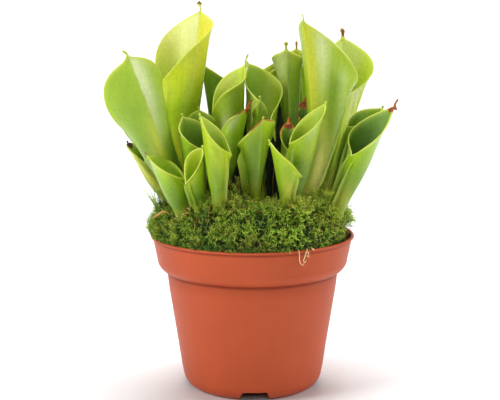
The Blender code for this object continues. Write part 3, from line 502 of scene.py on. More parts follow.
def gathered(sheets):
    """Join sheets into one shape, with the edges that meet merged and every face pointing out."""
    shape = bmesh.new()
    for sheet in sheets:
        part = bmesh.new()
        part.from_mesh(sheet)
        bmesh.ops.remove_doubles(part, verts=part.verts, dist=1e-4)
        bmesh.ops.recalc_face_normals(part, faces=part.faces)
        part.to_mesh(sheet)
        part.free()
        shape.from_mesh(sheet)
        bpy.data.meshes.remove(sheet)
    return shape


def leaf_turns(leaf):
    """Where the columns stand round a leaf: even, but close together at the midrib and at each wing."""
    even = list(np.linspace(-math.pi, math.pi, LEAF_COLUMNS))
    close = {0.0: (-0.45, -0.36, -0.28, -0.2, -0.12, -0.05, 0.0, 0.05, 0.12, 0.2, 0.28, 0.36, 0.45)}
    for wing in wing_turns(leaf):
        close[wing] = (-0.15, -0.10, -0.04, 0.0, 0.04, 0.10, 0.15)
    for middle, offsets in close.items():
        even = [turn for turn in even if abs(turn - middle) > abs(offsets[0]) + 0.03]
        even += [middle + offset for offset in offsets]
    return np.array(sorted(even))


def leaf_sheet(leaf):
    guides, shares, length = spine(leaf)
    turns = leaf_turns(leaf)

    def above_moss(share):
        return shares[2] + (1.0 - shares[2]) * share

    up = np.concatenate([[0.0, 0.5 * shares[1], shares[1], 0.5 * (shares[1] + shares[2])],
                         above_moss(np.linspace(0.0, 0.88, ROWS_UP)), above_moss(np.linspace(0.9, 1.0, ROWS_TO_RIM))])
    down = above_moss(np.concatenate([np.linspace(1.0, 0.88, ROWS_FROM_RIM), np.linspace(0.84, 0.30, ROWS_DOWN)]))
    rise_of = np.concatenate([[0.0], up, [1.0, 1.0, 1.0], down, down[-1:]])
    skin_of = np.concatenate([[0.0], up * 0.0, [0.2, 0.5, 0.8], down * 0.0 + 1.0, [1.0]])
    last = len(rise_of) - 1

    def shape(column, row):
        turn, rise, skin = turns[column], rise_of[row], skin_of[row]
        above = np.clip((rise - shares[2]) / (1.0 - shares[2]), 0.0, 1.0)
        normals = leaf_normals(leaf, turn, rise)
        middle, way = along_spine(guides, shares, rise)
        wall = (WALL_AT_FOOT - WALL_THINNING * above)[:, None]
        outer = leaf_skin(leaf, turn, rise)
        inner = leaf_skin(leaf, turn, rise, False) - normals * wall
        places = outer * (1.0 - skin[:, None]) + inner * skin[:, None]
        places = places + way * (np.sin(math.pi * skin) * 0.28)[:, None]
        pole = (row == 0) | (row == last)
        places[pole] = middle[pole]
        from_rim = (1.0 - above) * length * (1.0 - shares[2])
        from_tip = np.linalg.norm(places - np.array(leaf["tip"], float), axis=1)
        edge = np.maximum(np.exp(-from_rim / 0.9), np.sin(math.pi * np.clip(skin, 0, 1)))
        dry = smooth_step((leaf["dry"] - from_tip) / 4.0 + 0.5) if leaf["dry"] else from_tip * 0.0
        dry = np.maximum(dry, leaf["rim_dry"] * edge * smooth_step((20.0 - from_tip) / 12.0))
        outside = skin < 0.1
        fin = sum(ridge(turn, c, 0.1) for c in wing_turns(leaf)) * outside
        fin = fin * smooth_step((above - 0.02) / 0.1) * wing_fade(above)
        torn = smooth_step((above - 0.05) / 0.1) * (1.0 - smooth_step((above - 0.45) / 0.15)) * outside
        dry = np.maximum(dry, leaf["wing_dry"] * torn * smooth_step(ridge(turn, wing_turns(leaf)[1], 0.16) / 0.6))
        keel_line = leaf["keel_turn"] * (1.0 - above)
        rib = ridge(turn, keel_line, 0.14) * smooth_step(above / 0.6)
        height = (places[:, 2] - leaf["lip"][2]) / (leaf["tip"][2] - leaf["lip"][2])
        # Painted glow, standing in for light that shines through the leaf: on the lining towards the top, fainter
        # outside.
        glow = skin * smooth_step((height - 0.1) / 0.6) + (1.0 - skin) * 0.45 * smooth_step((height + 0.35) / 0.9)
        flat = above * 0.0
        patches = {"painted_sheen": flat, "glow": glow * leaf["glow"], "shade": flat}
        # The leaf's own painted patches on top: painted sheen, painted glow and painted shade.
        for kind, start, reach, middle_rise, tall, amount, *inside in leaf["patches"]:
            off = off_from(turn, keel_line + start) / reach
            patch = amount * np.exp(-1.5 * off ** 2 - ((above - middle_rise) / tall) ** 2)
            patch = patch * (skin if inside else 1.0 - skin)
            if start == 0:    # kept on one side of the keel
                patch = patch * smooth_step((off + 0.04) / 0.08)
            patches[kind] = np.maximum(patches[kind], patch)
        evenly = {key: flat + leaf[key] for key in ("tone", "lining", "scorch")}
        return places, {"rise": above, "inside": skin, "edge": edge, "dry": dry, "fin": fin, "rib": rib, **evenly,
                        **patches}

    return wrapped(len(turns) - 1, last, shape)


PAINTS = ("rise", "inside", "edge", "dry", "fin", "rib", "tone", "glow", "lining", "scorch", "painted_sheen", "shade")


def spoon_sheet(leaf):
    """The nectar spoon: a narrow neck up from the tip and a small hood that leans over the mouth."""
    _, back, _, mouth_side = leaf_axes(leaf)
    length = leaf["spoon"] + 2.0
    tip = np.array(leaf["tip"], float) - (0.0, 0.0, 2.0) - back * 0.45
    hooked = np.array(leaf["hook"], float)

    def shape(column, row):
        turn = column / SPOON_SIDES * 2.0 * math.pi
        t = row / SPOON_SIDES
        neck = leaf["neck"] * (1.0 + 0.8 * (1.0 - smooth_step(t / 0.4))) * (1.0 - 0.3 * t)
        hood = leaf["head"] * smooth_step((t - 0.5) / 0.25) * (1.0 - smooth_step((t - 0.78) / 0.22))
        wide = neck * (1.0 - smooth_step((t - 0.8) / 0.2)) + hood
        thick = neck * 0.8 * (1.0 - smooth_step((t - 0.8) / 0.2)) + 0.8 * hood
        hollow = hood * 0.6 * np.cos(turn) ** 2 * (np.sin(turn) < 0.0)
        lean = -0.35 * smooth_step((t - 0.45) / 0.55) * length * 0.35
        places = (tip + np.outer(t * length, (0.0, 0.0, 1.0)) + np.outer(lean, -back)
                  + np.outer(smooth_step((t - 0.35) / 0.65), hooked)
                  + np.outer(wide * np.cos(turn), mouth_side) + np.outer((thick + hollow) * np.sin(turn), back))
        paint = {key: t * 0.0 for key in PAINTS}
        paint.update({key: t * 0.0 + leaf[key] for key in ("tone", "glow", "scorch")})
        dry = leaf["spoon_dry"] * smooth_step((t - leaf["green_neck"]) / 0.3)
        return places, {**paint, "rise": t * 0.0 + 1.0, "edge": t * 0.0 + 0.45, "dry": dry}

    return wrapped(SPOON_SIDES, SPOON_SIDES, shape)


def leaf_finish(name, low, middle, full, high, inner_low, inner_high):
    """Waxy leaf tissue: greens that change with height, fine nerves, a pale rim, and red-brown dry tips."""
    finish = new_finish(name)
    paint = {key: painted(finish, key) for key in PAINTS}
    clouds = grain(finish, 70.0, 3.0)
    fine = grain(finish, 520.0, 4.0)
    around = wire(finish, "SeparateXYZ", {0: wire(finish, "UVMap", uv_map="skin").outputs[0]}).outputs[0]
    sway = plus(finish, around, times(finish, clouds, 0.012))
    nerves = wire(finish, "Math", {0: times(finish, sway, 2.0 * math.pi * 46.0)}, operation="SINE").outputs[0]
    nerves = fade(finish, nerves, 0.0, 1.0, 0.35, 1.0)

    wander = plus(finish, paint["rise"], times(finish, plus(finish, clouds, -0.5), 0.45))
    # Darker in the lower middle than at the foot and towards the top: partly the leaf's own greens, partly painted
    # shade below the flaring mouth and from neighbouring leaves.
    outer = ramp(finish, wander, [(0.0, low), (0.12, low), (0.35, middle), (0.6, full), (0.95, high)])
    # The inside is darker than the outside: partly the lining's own colour, partly painted shade inside the tube. The
    # lining share lightens it leaf by leaf.
    inner = ramp(finish, wander, [(0.35, inner_low), (0.95, inner_high)])
    inner = blend(finish, paint["lining"], inner, ramp(finish, wander, [(0.3, middle), (0.6, full), (0.85, high)]))
    colour = blend(finish, paint["inside"], outer, inner)
    colour = blend(finish, paint["tone"], colour, tinted(finish, colour, (1.35, 1.14, 0.7, 1.0)))
    # Painted light and shade: the golden painted glow, the painted shade patches and the pale painted sheen.
    colour = blend(finish, paint["glow"], colour, (0.86, 0.78, 0.07, 1.0))
    colour = blend(finish, paint["shade"], colour, tinted(finish, colour, (0.42, 0.53, 0.55, 1.0)))
    colour = blend(finish, paint["painted_sheen"], colour, (0.84, 0.92, 0.56, 1.0))
    colour = blend(finish, times(finish, nerves, 0.2), colour, tinted(finish, colour, (1.25, 1.18, 1.1, 1.0)))
    speckle = ramp(finish, fine, [(0.35, (0.86, 0.90, 0.86)), (0.65, (1.10, 1.07, 1.05))])
    colour = tinted(finish, colour, speckle, 0.6)
    ribbed = sums(finish, "MAXIMUM", times(finish, paint["rib"], 0.22), times(finish, paint["fin"], 0.75))
    colour = blend(finish, ribbed, colour, (0.54, 0.62, 0.07, 1.0))
    # A pale rim: partly the rim's own paler tissue, partly a painted highlight along its rolled edge.
    colour = blend(finish, times(finish, paint["edge"], 0.8), colour, (0.62, 0.68, 0.09, 1.0))
    parched = plus(finish, paint["dry"], times(finish, plus(finish, clouds, -0.5), 1.5))
    brown = ramp(finish, paint["scorch"], [
        (0.0, (0.20, 0.115, 0.014)), (0.5, (0.40, 0.098, 0.010)), (1.0, (0.010, 0.005, 0.003))])
    mottle = ramp(finish, grain(finish, 330.0, 3.0), [
        (0.35, (0.28, 0.22, 0.2)), (0.5, (1.0, 1.0, 1.0)), (0.7, (1.4, 1.5, 1.1))])
    brown = blend(finish, fade(finish, parched, 0.75, 0.0, 0.62, 0.85), brown, (0.42, 0.15, 0.012, 1.0))
    brown = tinted(finish, brown, mottle)
    surely = fade(finish, paint["dry"], 0.0, 1.0, 0.0, 0.08)
    parched = times(finish, fade(finish, parched, 0.0, 1.0, 0.42, 0.62), surely)
    colour = blend(finish, parched, colour, brown)

    roughness = fade(finish, plus(finish, times(finish, clouds, 0.6), times(finish, fine, 0.4)), 0.26, 0.38)
    roughness = blend(finish, paint["inside"], roughness, (0.52, 0.52, 0.52, 1.0))
    roughness = blend(finish, parched, roughness, (0.7, 0.7, 0.7, 1.0))
    height = plus(finish, times(finish, nerves, 0.22), times(finish, fine, 0.55))
    surface(finish, colour, roughness, height, 0.00016, 0.5, Subsurface_Weight=0.22,
            Subsurface_Radius=(0.9, 1.0, 0.25), Subsurface_Scale=0.002, Specular_IOR_Level=0.4)
    return finish


LEAF_FINISHES = {
    "leaf_green": leaf_finish(
        "fresh_green_leaf", low=(0.27, 0.38, 0.022), middle=(0.14, 0.28, 0.016), full=(0.23, 0.41, 0.017),
        high=(0.34, 0.54, 0.019), inner_low=(0.045, 0.11, 0.013), inner_high=(0.13, 0.27, 0.016)),
    "leaf_yellow_green": leaf_finish(
        "yellow_green_leaf", low=(0.32, 0.43, 0.022), middle=(0.22, 0.39, 0.016), full=(0.34, 0.52, 0.018),
        high=(0.47, 0.63, 0.020), inner_low=(0.09, 0.18, 0.014), inner_high=(0.28, 0.44, 0.022)),
    # Partly the leaves' own darker green, partly painted shade for leaves at the back and in the shade of others.
    "leaf_deep_green": leaf_finish(
        "deep_green_and_shaded_leaf", low=(0.18, 0.30, 0.018), middle=(0.080, 0.18, 0.015), full=(0.13, 0.27, 0.017),
        high=(0.20, 0.36, 0.020), inner_low=(0.035, 0.09, 0.012), inner_high=(0.10, 0.22, 0.012)),
}


USUAL_LEAF = {
    # The bend of its spine, the turn of its mouth, and how the outline swells and narrows on its way up.
    "bow": (0, 0, 0), "roll": 0.0, "shoulder": 0.0, "lift": 0.0, "widen": 1.25, "deepen": 1.9, "skew": 0.0,
    "cusp": 0.14, "beak": 0.12,
    # The two wings down its front and the keel up its back.
    "wing": 2.2, "wing_angle": 0.42, "keel": 0.45, "keel_turn": 0.0,
    # The spoon: half its neck's width, its hood's, how far it bends, and how much of it is dry from where up.
    "neck": 0.5, "head": 0.5, "hook": (0, 0, 0), "spoon_dry": 0.0, "green_neck": 0.35,
    # How yellow it is, its painted glow near the tip, how like its outside the lining is, and its dry tissue.
    "tone": 0.3, "glow": 0.0, "lining": 0.3, "dry": 0.0, "rim_dry": 0.0, "wing_dry": 0.0, "scorch": 0.5,
    # Painted sheen, painted glow and painted shade patches: the kind, how far round from the keel, half its width,
    # its middle's share of the height, its own height, and how strong it is. The last word is there when it lies on
    # the inside. One that starts at the keel itself stays on one side of it, which the sign of its width gives.
    "patches": (),
}


def pitcher(number, slot, **sizes):
    """One leaf in its place. Root, tip and lip are where its stalk leaves the moss and its mouth's two points."""
    leaf = {**USUAL_LEAF, "number": number, "sway": 0.1 * sizes["mouth"], **sizes}
    rolled = gathered([leaf_sheet(leaf), spoon_sheet(leaf)])
    piece = set_down(rolled, f"pitcher_leaf_{number:02d}", LEAF_FINISHES[slot], 70.0)
    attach(piece, "root")
    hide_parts(f"pitcher_{number:02d}")
    return leaf


LEAVES = [
    # The pitchers that the photograph shows.
    pitcher(1, "leaf_green", crown="left", root=(-41, -4), tip=(-69.5, -33.0, 197.7), lip=(-65.4, -10.3, 148.5),
            mouth=33.6, tube=11, roll=8.9, shoulder=0.25, skew=-0.2, lift=2.0, sway=1.3, widen=1.35, deepen=1.5,
            cusp=0.1, beak=0.11, keel=2.0, keel_turn=-0.9, spoon=4.5, neck=0.85, head=0.6, hook=(-2.4, 0, -0.5),
            spoon_dry=0.25, glow=0.1, scorch=0.0,
            patches=[("painted_sheen", 0, -0.68, 0.88, 0.24, 1.0), ("shade", 0.8, 1.2, 0.88, 0.5, 0.42),
                     ("shade", -0.7, 0.6, 0.45, 0.2, 0.3), ("glow", 0.2, 0.7, 0.52, 0.15, 0.35)]),
    pitcher(2, "leaf_yellow_green", crown="left", root=(-36, 14), tip=(-30.5, 24.0, 221.3), lip=(-57.7, 10.6, 176.2),
            mouth=38.5, tube=11, bow=(-3.5, 0, 0), roll=8.7, shoulder=0.4, skew=0.02, lift=0.5, sway=8.0, widen=1.05,
            cusp=0.06, beak=0.22, spoon=7.3, neck=0.6, head=1.1, hook=(-1.6, 0, -0.8), spoon_dry=0.9, green_neck=0.6,
            tone=0.5, glow=0.7, lining=0.8, scorch=0.0,
            patches=[("painted_sheen", 0, -3.0, 1.0, 0.3, 0.6, "inside"), ("glow", 0.6, 0.7, 1.0, 0.4, 0.9, "inside"),
                     ("glow", -1.2, 1.0, 0.88, 0.3, 0.35, "inside"), ("glow", 1.5, 0.6, 0.95, 0.2, 0.6),
                     ("shade", 2.1, 0.5, 0.64, 0.12, 0.25), ("glow", 2.5, 0.8, 0.38, 0.16, 0.5)]),
    pitcher(3, "leaf_deep_green", crown="rear_left", root=(-16, 22), tip=(-31, 28, 190), lip=(-14, 42, 172), mouth=18,
            tube=7, widen=2.5, spoon=2.5, spoon_dry=0.2, tone=0.0,
            patches=[("shade", -0.5, 1.2, 0.5, 0.3, 0.3)]),
    pitcher(4, "leaf_green", crown="middle", root=(-12, 2), tip=(-3.7, 2, 191.6), lip=(-23.9, -0.1, 163), mouth=19.0,
            tube=7, roll=12.5, shoulder=0.3, skew=-0.16, lift=1.5, sway=8.0, cusp=0.12, beak=0.06, spoon=6.0,
            neck=0.7, head=0.1, hook=(0.8, 0, 0.5), spoon_dry=0.4, glow=0.2, lining=1.0, scorch=0.0,
            patches=[("painted_sheen", 2.02, 0.4, 0.72, 0.09, 0.45), ("glow", 2.02, 0.45, 0.73, 0.1, 0.5),
                     ("shade", 1.5, 0.45, 0.93, 0.22, 0.75), ("glow", -1.7, 0.7, 0.93, 0.2, 0.5, "inside"),
                     ("painted_sheen", -1.7, 0.7, 0.93, 0.2, 0.2, "inside")]),
    pitcher(5, "leaf_green", crown="middle", root=(4, 4), tip=(-3.2, 18.3, 190.5), lip=(11.2, 7.2, 157.3), mouth=31.3,
            tube=7.5, roll=4.5, shoulder=-0.02, skew=0.28, lift=6.0, sway=8.0, cusp=0.08, beak=0.16, spoon=2.0,
            lining=0.45,
            patches=[("glow", -1.7, 0.7, 0.85, 0.3, 0.3), ("painted_sheen", -1.7, 0.7, 0.85, 0.3, 0.2),
                     ("glow", 1.45, 0.6, 0.97, 0.25, 0.2, "inside")]),
    pitcher(6, "leaf_deep_green", crown="rear_right", root=(22, 18.5), tip=(20, 22.8, 199), lip=(22, 33.8, 186),
            mouth=19, tube=10, bow=(1.5, 0, 0), widen=4.0, cusp=0.25, keel=0.8, spoon=5.0, neck=0.9, spoon_dry=0.35,
            tone=0.6, glow=0.35, scorch=0.0,
            patches=[("glow", 0.6, 0.9, 0.95, 0.35, 0.2), ("painted_sheen", 0.6, 0.9, 0.97, 0.2, 0.3)]),
    pitcher(7, "leaf_green", crown="rear_right", root=(27, 30), tip=(27, 46, 198), lip=(27, 36, 187), mouth=16,
            tube=7, spoon=5.0, neck=0.7, head=0.25, spoon_dry=0.6, green_neck=0.0, glow=0.4, scorch=0.1),
    pitcher(8, "leaf_green", crown="right", root=(31, -10), tip=(28.6, -16.0, 216.8), lip=(49.9, 9.1, 175.7),
            mouth=29.1, tube=10, bow=(5, -2, 0), roll=6.4, shoulder=-0.35, skew=0.21, lift=5.4, sway=-2.0, widen=1.5,
            deepen=2.4, cusp=0.06, beak=0.06, wing=3.0, keel=0.9, spoon=5.0, head=0.0, hook=(-0.6, 0, 0), tone=0.6,
            patches=[("painted_sheen", -0.58, 0.25, 0.93, 0.2, 0.6), ("glow", -0.1, 0.5, 0.85, 0.4, 0.55),
                     ("shade", -0.98, 0.3, 0.72, 0.18, 0.65), ("painted_sheen", -1.55, 0.4, 0.58, 0.25, 0.15),
                     ("glow", -0.5, 0.5, 0.48, 0.14, 0.5), ("glow", -0.95, 0.9, 0.25, 0.2, 0.75),
                     ("painted_sheen", -1.0, 0.7, 0.24, 0.18, 0.2), ("glow", -0.6, 0.9, 0.08, 0.16, 0.4)]),
    pitcher(9, "leaf_yellow_green", crown="far_right", root=(43, 14), tip=(54.3, 34.0, 205.4),
            lip=(59.7, 23.7, 172.7), mouth=30.0, tube=9, bow=(1, 2, 0), roll=10.4, shoulder=0.03, skew=-0.01,
            lift=5.9, sway=3.9, widen=2.2, cusp=0.09, beak=0.1, wing=3.0, spoon=6.0, neck=1.25, head=0.7,
            spoon_dry=0.65, green_neck=0.15, tone=0.2, lining=1.0, scorch=0.12,
            patches=[("painted_sheen", -0.3, 1.4, 0.95, 0.4, 0.3, "inside"), ("painted_sheen", 2.75, 0.45, 0.98, 0.2, 0.7),
                     ("glow", 2.9, 0.6, 0.7, 0.3, 0.35), ("painted_sheen", 0.7, 0.5, 0.92, 0.2, 0.25, "inside")]),
    pitcher(10, "leaf_green", crown="far_right", root=(48, -14), tip=(81.7, -16.0, 168.8), lip=(55.4, -25.2, 140.9),
            mouth=23.0, tube=9, roll=14.0, shoulder=-0.23, skew=-0.08, lift=3.3, sway=2.6, widen=1.6, deepen=2.8,
            cusp=0.18, beak=0.14, spoon=4.0, neck=0.85, head=0.0, hook=(1.2, 0, 0.5), spoon_dry=1.0, green_neck=-0.3,
            tone=0.1, lining=0.0, dry=5.0, scorch=0.45,
            patches=[("glow", 2.0, 0.9, 0.22, 0.2, 0.3)]),
    pitcher(11, "leaf_deep_green", crown="far_right", root=(48, 0), tip=(77, 8, 165), lip=(55, 1, 155), mouth=17,
            tube=7, roll=20, spoon=2.0, spoon_dry=0.2, tone=0.1, lining=0.9),
    pitcher(12, "leaf_green", crown="right", root=(24, -24), tip=(41.7, -23.0, 170.8), lip=(20.4, -28.8, 148.3),
            mouth=14.3, tube=7, roll=15.5, shoulder=0.01, skew=0.06, lift=-0.3, sway=0.6, cusp=0.09, beak=0.11,
            spoon=1.5, lining=0.75,
            patches=[("painted_sheen", 1.54, 0.5, 1.0, 0.16, 0.35), ("glow", 1.4, 0.5, 0.65, 0.18, 0.2),
                     ("shade", 1.9, 0.8, 0.22, 0.2, 0.3), ("glow", -1.2, 1.2, 0.85, 0.3, 0.2, "inside")]),
    pitcher(13, "leaf_green", crown="right", root=(19, -33), tip=(9, -39, 151), lip=(28, -38, 131), mouth=13, tube=6,
            deepen=2.6, beak=0.2, spoon=1.5, tone=0.5,
            patches=[("glow", -1.9, 0.9, 0.42, 0.22, 0.5), ("shade", -1.5, 0.8, 0.82, 0.22, 0.22)]),
    pitcher(14, "leaf_green", crown="middle", root=(1, -24), tip=(6, -36, 163), lip=(-1, -18, 145), mouth=26, tube=6,
            roll=24, widen=2.2, wing=4.5, wing_angle=0.95, keel=0.8, spoon=2.0, rim_dry=0.55, wing_dry=1.0,
            scorch=0.55,
            patches=[("shade", 0.6, 0.9, 0.75, 0.35, 0.55), ("glow", 0.5, 1.2, 0.25, 0.2, 0.15)]),
    pitcher(15, "leaf_yellow_green", crown="front_left", root=(-20, -37), tip=(-29.5, -43.0, 166.0),
            lip=(-11.3, -39.3, 143.6), mouth=17.5, tube=6, roll=-24.0, shoulder=-0.03, skew=0.01, lift=0.1, sway=1.1,
            deepen=2.4, cusp=0.15, beak=0.18, spoon=1.5, lining=0.15,
            patches=[("shade", -1.1, 0.9, 0.6, 0.25, 0.4), ("shade", -1.0, 0.9, 0.22, 0.2, 0.45),
                     ("shade", -1.7, 0.8, 0.95, 0.2, 0.4)]),
    pitcher(16, "leaf_green", crown="left", root=(-33, -14), tip=(-40.8, -14.0, 162.7), lip=(-27.9, -21.7, 144.1),
            mouth=19.7, tube=7, roll=-11.9, shoulder=0.04, skew=0.07, lift=1.3, sway=1.6, cusp=0.19, spoon=2.0,
            tone=0.0),
    pitcher(17, "leaf_deep_green", crown="left", root=(-27, -2), tip=(-31, -9.5, 166), lip=(-27, 0.5, 152), mouth=16,
            tube=6.5, spoon=2.0),
    pitcher(18, "leaf_green", crown="front_left", root=(-39.5, -28), tip=(-59.3, -35.5, 142.3),
            lip=(-37.3, -30.0, 128.2), mouth=19.8, tube=8, roll=-17.5, shoulder=-0.01, skew=-0.1, lift=1.2, sway=0.8,
            cusp=0.11, beak=0.18, spoon=3.0, neck=0.45, head=0.1, hook=(-1.0, 0, 0), spoon_dry=0.6, lining=1.0,
            scorch=0.1),
    pitcher(19, "leaf_deep_green", crown="left", root=(-47.5, 4), tip=(-73.5, 1, 145.5), lip=(-63, 0, 134),
            mouth=14.2, tube=7, roll=-9.1, shoulder=0.31, skew=-0.07, lift=0.9, sway=1.5, cusp=0.12, spoon=1.5,
            head=0.3, spoon_dry=1.0, green_neck=-0.3, tone=0.6, dry=5.0, scorch=1.0,
            patches=[("glow", -2.0, 1.3, 0.75, 0.5, 0.8), ("painted_sheen", -2.0, 1.0, 0.82, 0.25, 0.25)]),
    pitcher(20, "leaf_green", crown="front_left", root=(-30, -32), tip=(-28.0, -29.0, 146.5),
            lip=(-37.9, -41.7, 127.1), mouth=9.0, tube=6, roll=11.0, shoulder=0.2, skew=-0.09, lift=2.7, sway=0.7,
            cusp=0.13, beak=0.13, spoon=1.5, glow=0.25, lining=0.9,
            patches=[("shade", -1.3, 0.8, 0.6, 0.25, 0.4), ("glow", -1.0, 0.9, 0.92, 0.2, 0.3),
                     ("glow", -1.1, 0.9, 0.9, 0.25, 0.3, "inside")]),
    pitcher(21, "leaf_green", crown="middle", root=(-17, -12), tip=(-2, -14, 168), lip=(-18, -16, 155), mouth=14,
            tube=6.5, roll=-18, spoon=4.0, neck=1.0, head=0.0, hook=(1.6, 0, 1.0), spoon_dry=1.0, green_neck=-0.3,
            dry=4.5, rim_dry=0.9, scorch=0.4,
            patches=[("painted_sheen", 1.6, 0.6, 0.97, 0.1, 0.5), ("shade", 1.6, 0.9, 0.6, 0.25, 0.5)]),
    pitcher(22, "leaf_deep_green", crown="middle", root=(0, -9), tip=(4.2, -16, 172.8), lip=(5.1, -3.2, 157),
            mouth=8.0, tube=6.5, bow=(-1.5, 0, 0), roll=-0.1, shoulder=-0.08, lift=-0.8, sway=1.5, cusp=0.24,
            spoon=2.0, tone=0.7),
    pitcher(23, "leaf_deep_green", crown="right", root=(19, -14), tip=(21.1, -10.0, 159.5), lip=(20.4, -17.9, 143.1),
            mouth=9.3, tube=6, roll=0.3, shoulder=0.01, skew=-0.05, sway=1.2, cusp=0.13, beak=0.13, spoon=2.5,
            neck=1.2, head=0.0, spoon_dry=1.0, green_neck=-0.3, tone=0.6, dry=4.5, rim_dry=0.7, scorch=0.45),
    pitcher(24, "leaf_deep_green", crown="rear_right", root=(28, 4), tip=(31.2, 12.0, 170.2), lip=(29.8, 4.5, 157.2),
            mouth=8.0, tube=6.5, roll=-4.0, lift=-0.7, sway=0.8, spoon=3.0, neck=0.9, head=0.2, hook=(2.6, 0, 1.5),
            spoon_dry=1.0, green_neck=-0.3, tone=0.4, lining=0.0, dry=6.0, rim_dry=0.9, scorch=0.6),
    pitcher(25, "leaf_green", crown="rear_right", root=(11, 27), tip=(17.4, 43, 192.4), lip=(0.8, 39.1, 176.5),
            mouth=18.9, tube=7.5, shoulder=0.02, skew=-0.01, lift=0.2, sway=2.5, spoon=3.0, spoon_dry=0.7, tone=0.9,
            glow=0.3),
    # The low outer pitchers at the rear.
    pitcher(26, "leaf_green", crown="rear_left", root=(-28, 30), tip=(-45, 52, 161), lip=(-40, 40, 145), mouth=20,
            tube=7.5, spoon=3.0, spoon_dry=0.7),
    pitcher(27, "leaf_deep_green", crown="rear_left", root=(-13, 36), tip=(-15, 56, 154), lip=(-13, 45, 142),
            mouth=17, tube=7, spoon=2.5, spoon_dry=0.7, tone=0.6),
    pitcher(28, "leaf_green", crown="rear_right", root=(14, 36), tip=(6, 57, 158), lip=(8, 47, 144), mouth=18, tube=7,
            spoon=2.5, spoon_dry=0.7, dry=5.0),
    pitcher(29, "leaf_green", crown="rear_right", root=(38, 30), tip=(49, 56, 163), lip=(45, 44, 148), mouth=20,
            tube=7.5, spoon=3.0, spoon_dry=0.7, tone=0.5),
    pitcher(30, "leaf_green", crown="rear_left", root=(-38, 33), tip=(-66, 35, 160), lip=(-57, 29, 144), mouth=19,
            tube=7.5, spoon=3.0, spoon_dry=0.7, tone=0.2),
]

# --- Withered stalks and painted shade ---------------------------------------------------------------------
# What is left of old pitchers between the live ones: collapsed, fibrous brown and black strips that still
# stand in the moss. They are partly real dead stalks and partly near-black sheets of painted shade, set in
# the gaps between leaves. Each is a grid wrapped into a flattened tube, twisted and wrinkled by noise.

DEAD_STALKS_AND_SHADE_SHEETS = [
    # Foot, how far its top is from there, and half its width.
    ((-7, -9), (-1, 1, 38), 5.6), ((-4, 10), (1.5, 0, 60), 2.6), ((12.5, -6), (-0.5, 1, 36), 4.6),
    ((16, 15), (1, 0, 49), 3.8), ((15.5, -22), (-2, 1, 21), 1.3), ((-1, 17), (0, 2, 44), 4.0),
    ((33, 12), (0.5, 2, 44), 3.4), ((-22, 9), (-1, 0.5, 34), 3.4), ((50, 8), (3, 1, 30), 3.2),
    ((-2.6, 33), (0, 1, 70), 1.4), ((16.5, 31), (0, 1, 72), 3.2),
]
STALK_SIDES, STALK_STEPS = 20, 40
STALK_SUNK = 6.0              # how deep each stalk and shade sheet stands in the moss


def bumps(xs, ys, zs):
    """Smooth random bumps, one value for each place."""
    return np.array([noise.noise(Vector(place)) for place in zip(xs, ys, zs)])


def stalk_and_shade_sheet(number, foot, top, half_width):
    def shape(column, row):
        turn = column / STALK_SIDES * 2.0 * math.pi
        t = row / STALK_STEPS
        rough = bumps(np.cos(turn) * 1.6, np.sin(turn) * 1.6, t * 7.0 + number * 5.0)
        ragged = bumps(np.cos(turn) * 1.2, t * 0.0 + number * 3.0, t * 0.0 + 2.0)
        width = half_width * (0.55 + 0.6 * np.sin(math.pi * np.minimum(t * 1.15, 1.0)) ** 0.6)
        width = width * (1.0 - smooth_step((t - 0.9) / 0.1))
        flat = 0.8 * (1.0 - smooth_step((t - 0.92) / 0.08))
        wide, thick = (width + 0.9 * rough) * np.cos(turn), (flat + 0.5 * rough) * np.sin(turn)
        swing = (0.5 * number + 1.1 * t) * 0.35
        x = foot[0] + top[0] * t + wide * np.cos(swing) - thick * np.sin(swing)
        y = foot[1] + top[1] * t + wide * np.sin(swing) + thick * np.cos(swing)
        z = float(moss_height(*foot)) - STALK_SUNK + (top[2] + STALK_SUNK) * t * (1.0 + 0.10 * ragged * t)
        return np.stack([x, y, z], axis=1), {"rise": t}

    return wrapped(STALK_SIDES, STALK_STEPS, shape)


def dead_fibre_and_painted_shade():
    finish = new_finish("dead_leaf_fibre_and_painted_shade")
    rise = painted(finish, "rise")
    fibres = grain(finish, 420.0, 4.0, (1.0, 1.0, 0.10))
    blots = grain(finish, 120.0, 3.0)
    # Near-black, painted shade in the gaps between leaves, streaked with the brown fibres of dead stalks.
    colour = ramp(finish, fibres, [
        (0.35, (0.006, 0.009, 0.006)), (0.55, (0.016, 0.022, 0.012)), (0.78, (0.085, 0.060, 0.028))])
    colour = blend(finish, fade(finish, blots, 0.0, 0.7, 0.5, 0.7), colour, (0.014, 0.022, 0.010, 1.0))
    # Darker still towards the top: more painted shade.
    colour = blend(finish, fade(finish, rise, 0.0, 0.5, 0.3, 1.0), colour, (0.012, 0.016, 0.008, 1.0))
    roughness = fade(finish, fibres, 0.7, 0.95)
    surface(finish, colour, roughness, fibres, 0.0008, Specular_IOR_Level=0.25)
    return finish


dead_and_shade_piece = gathered([stalk_and_shade_sheet(number, *stalk) for number, stalk in enumerate(DEAD_STALKS_AND_SHADE_SHEETS)])
dead_and_shade_piece = set_down(dead_and_shade_piece, "dead_stalks_and_shade_sheets", dead_fibre_and_painted_shade())
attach(dead_and_shade_piece, "root")

# --- Moss mat ----------------------------------------------------------------------------------------------
# The dark, tangled underlayer of the live moss: a lumpy cushion of dead strands that fills the pot's mouth
# and swells over the rim on the left. A grid, wrapped round into a dome, with its lumps from noise.

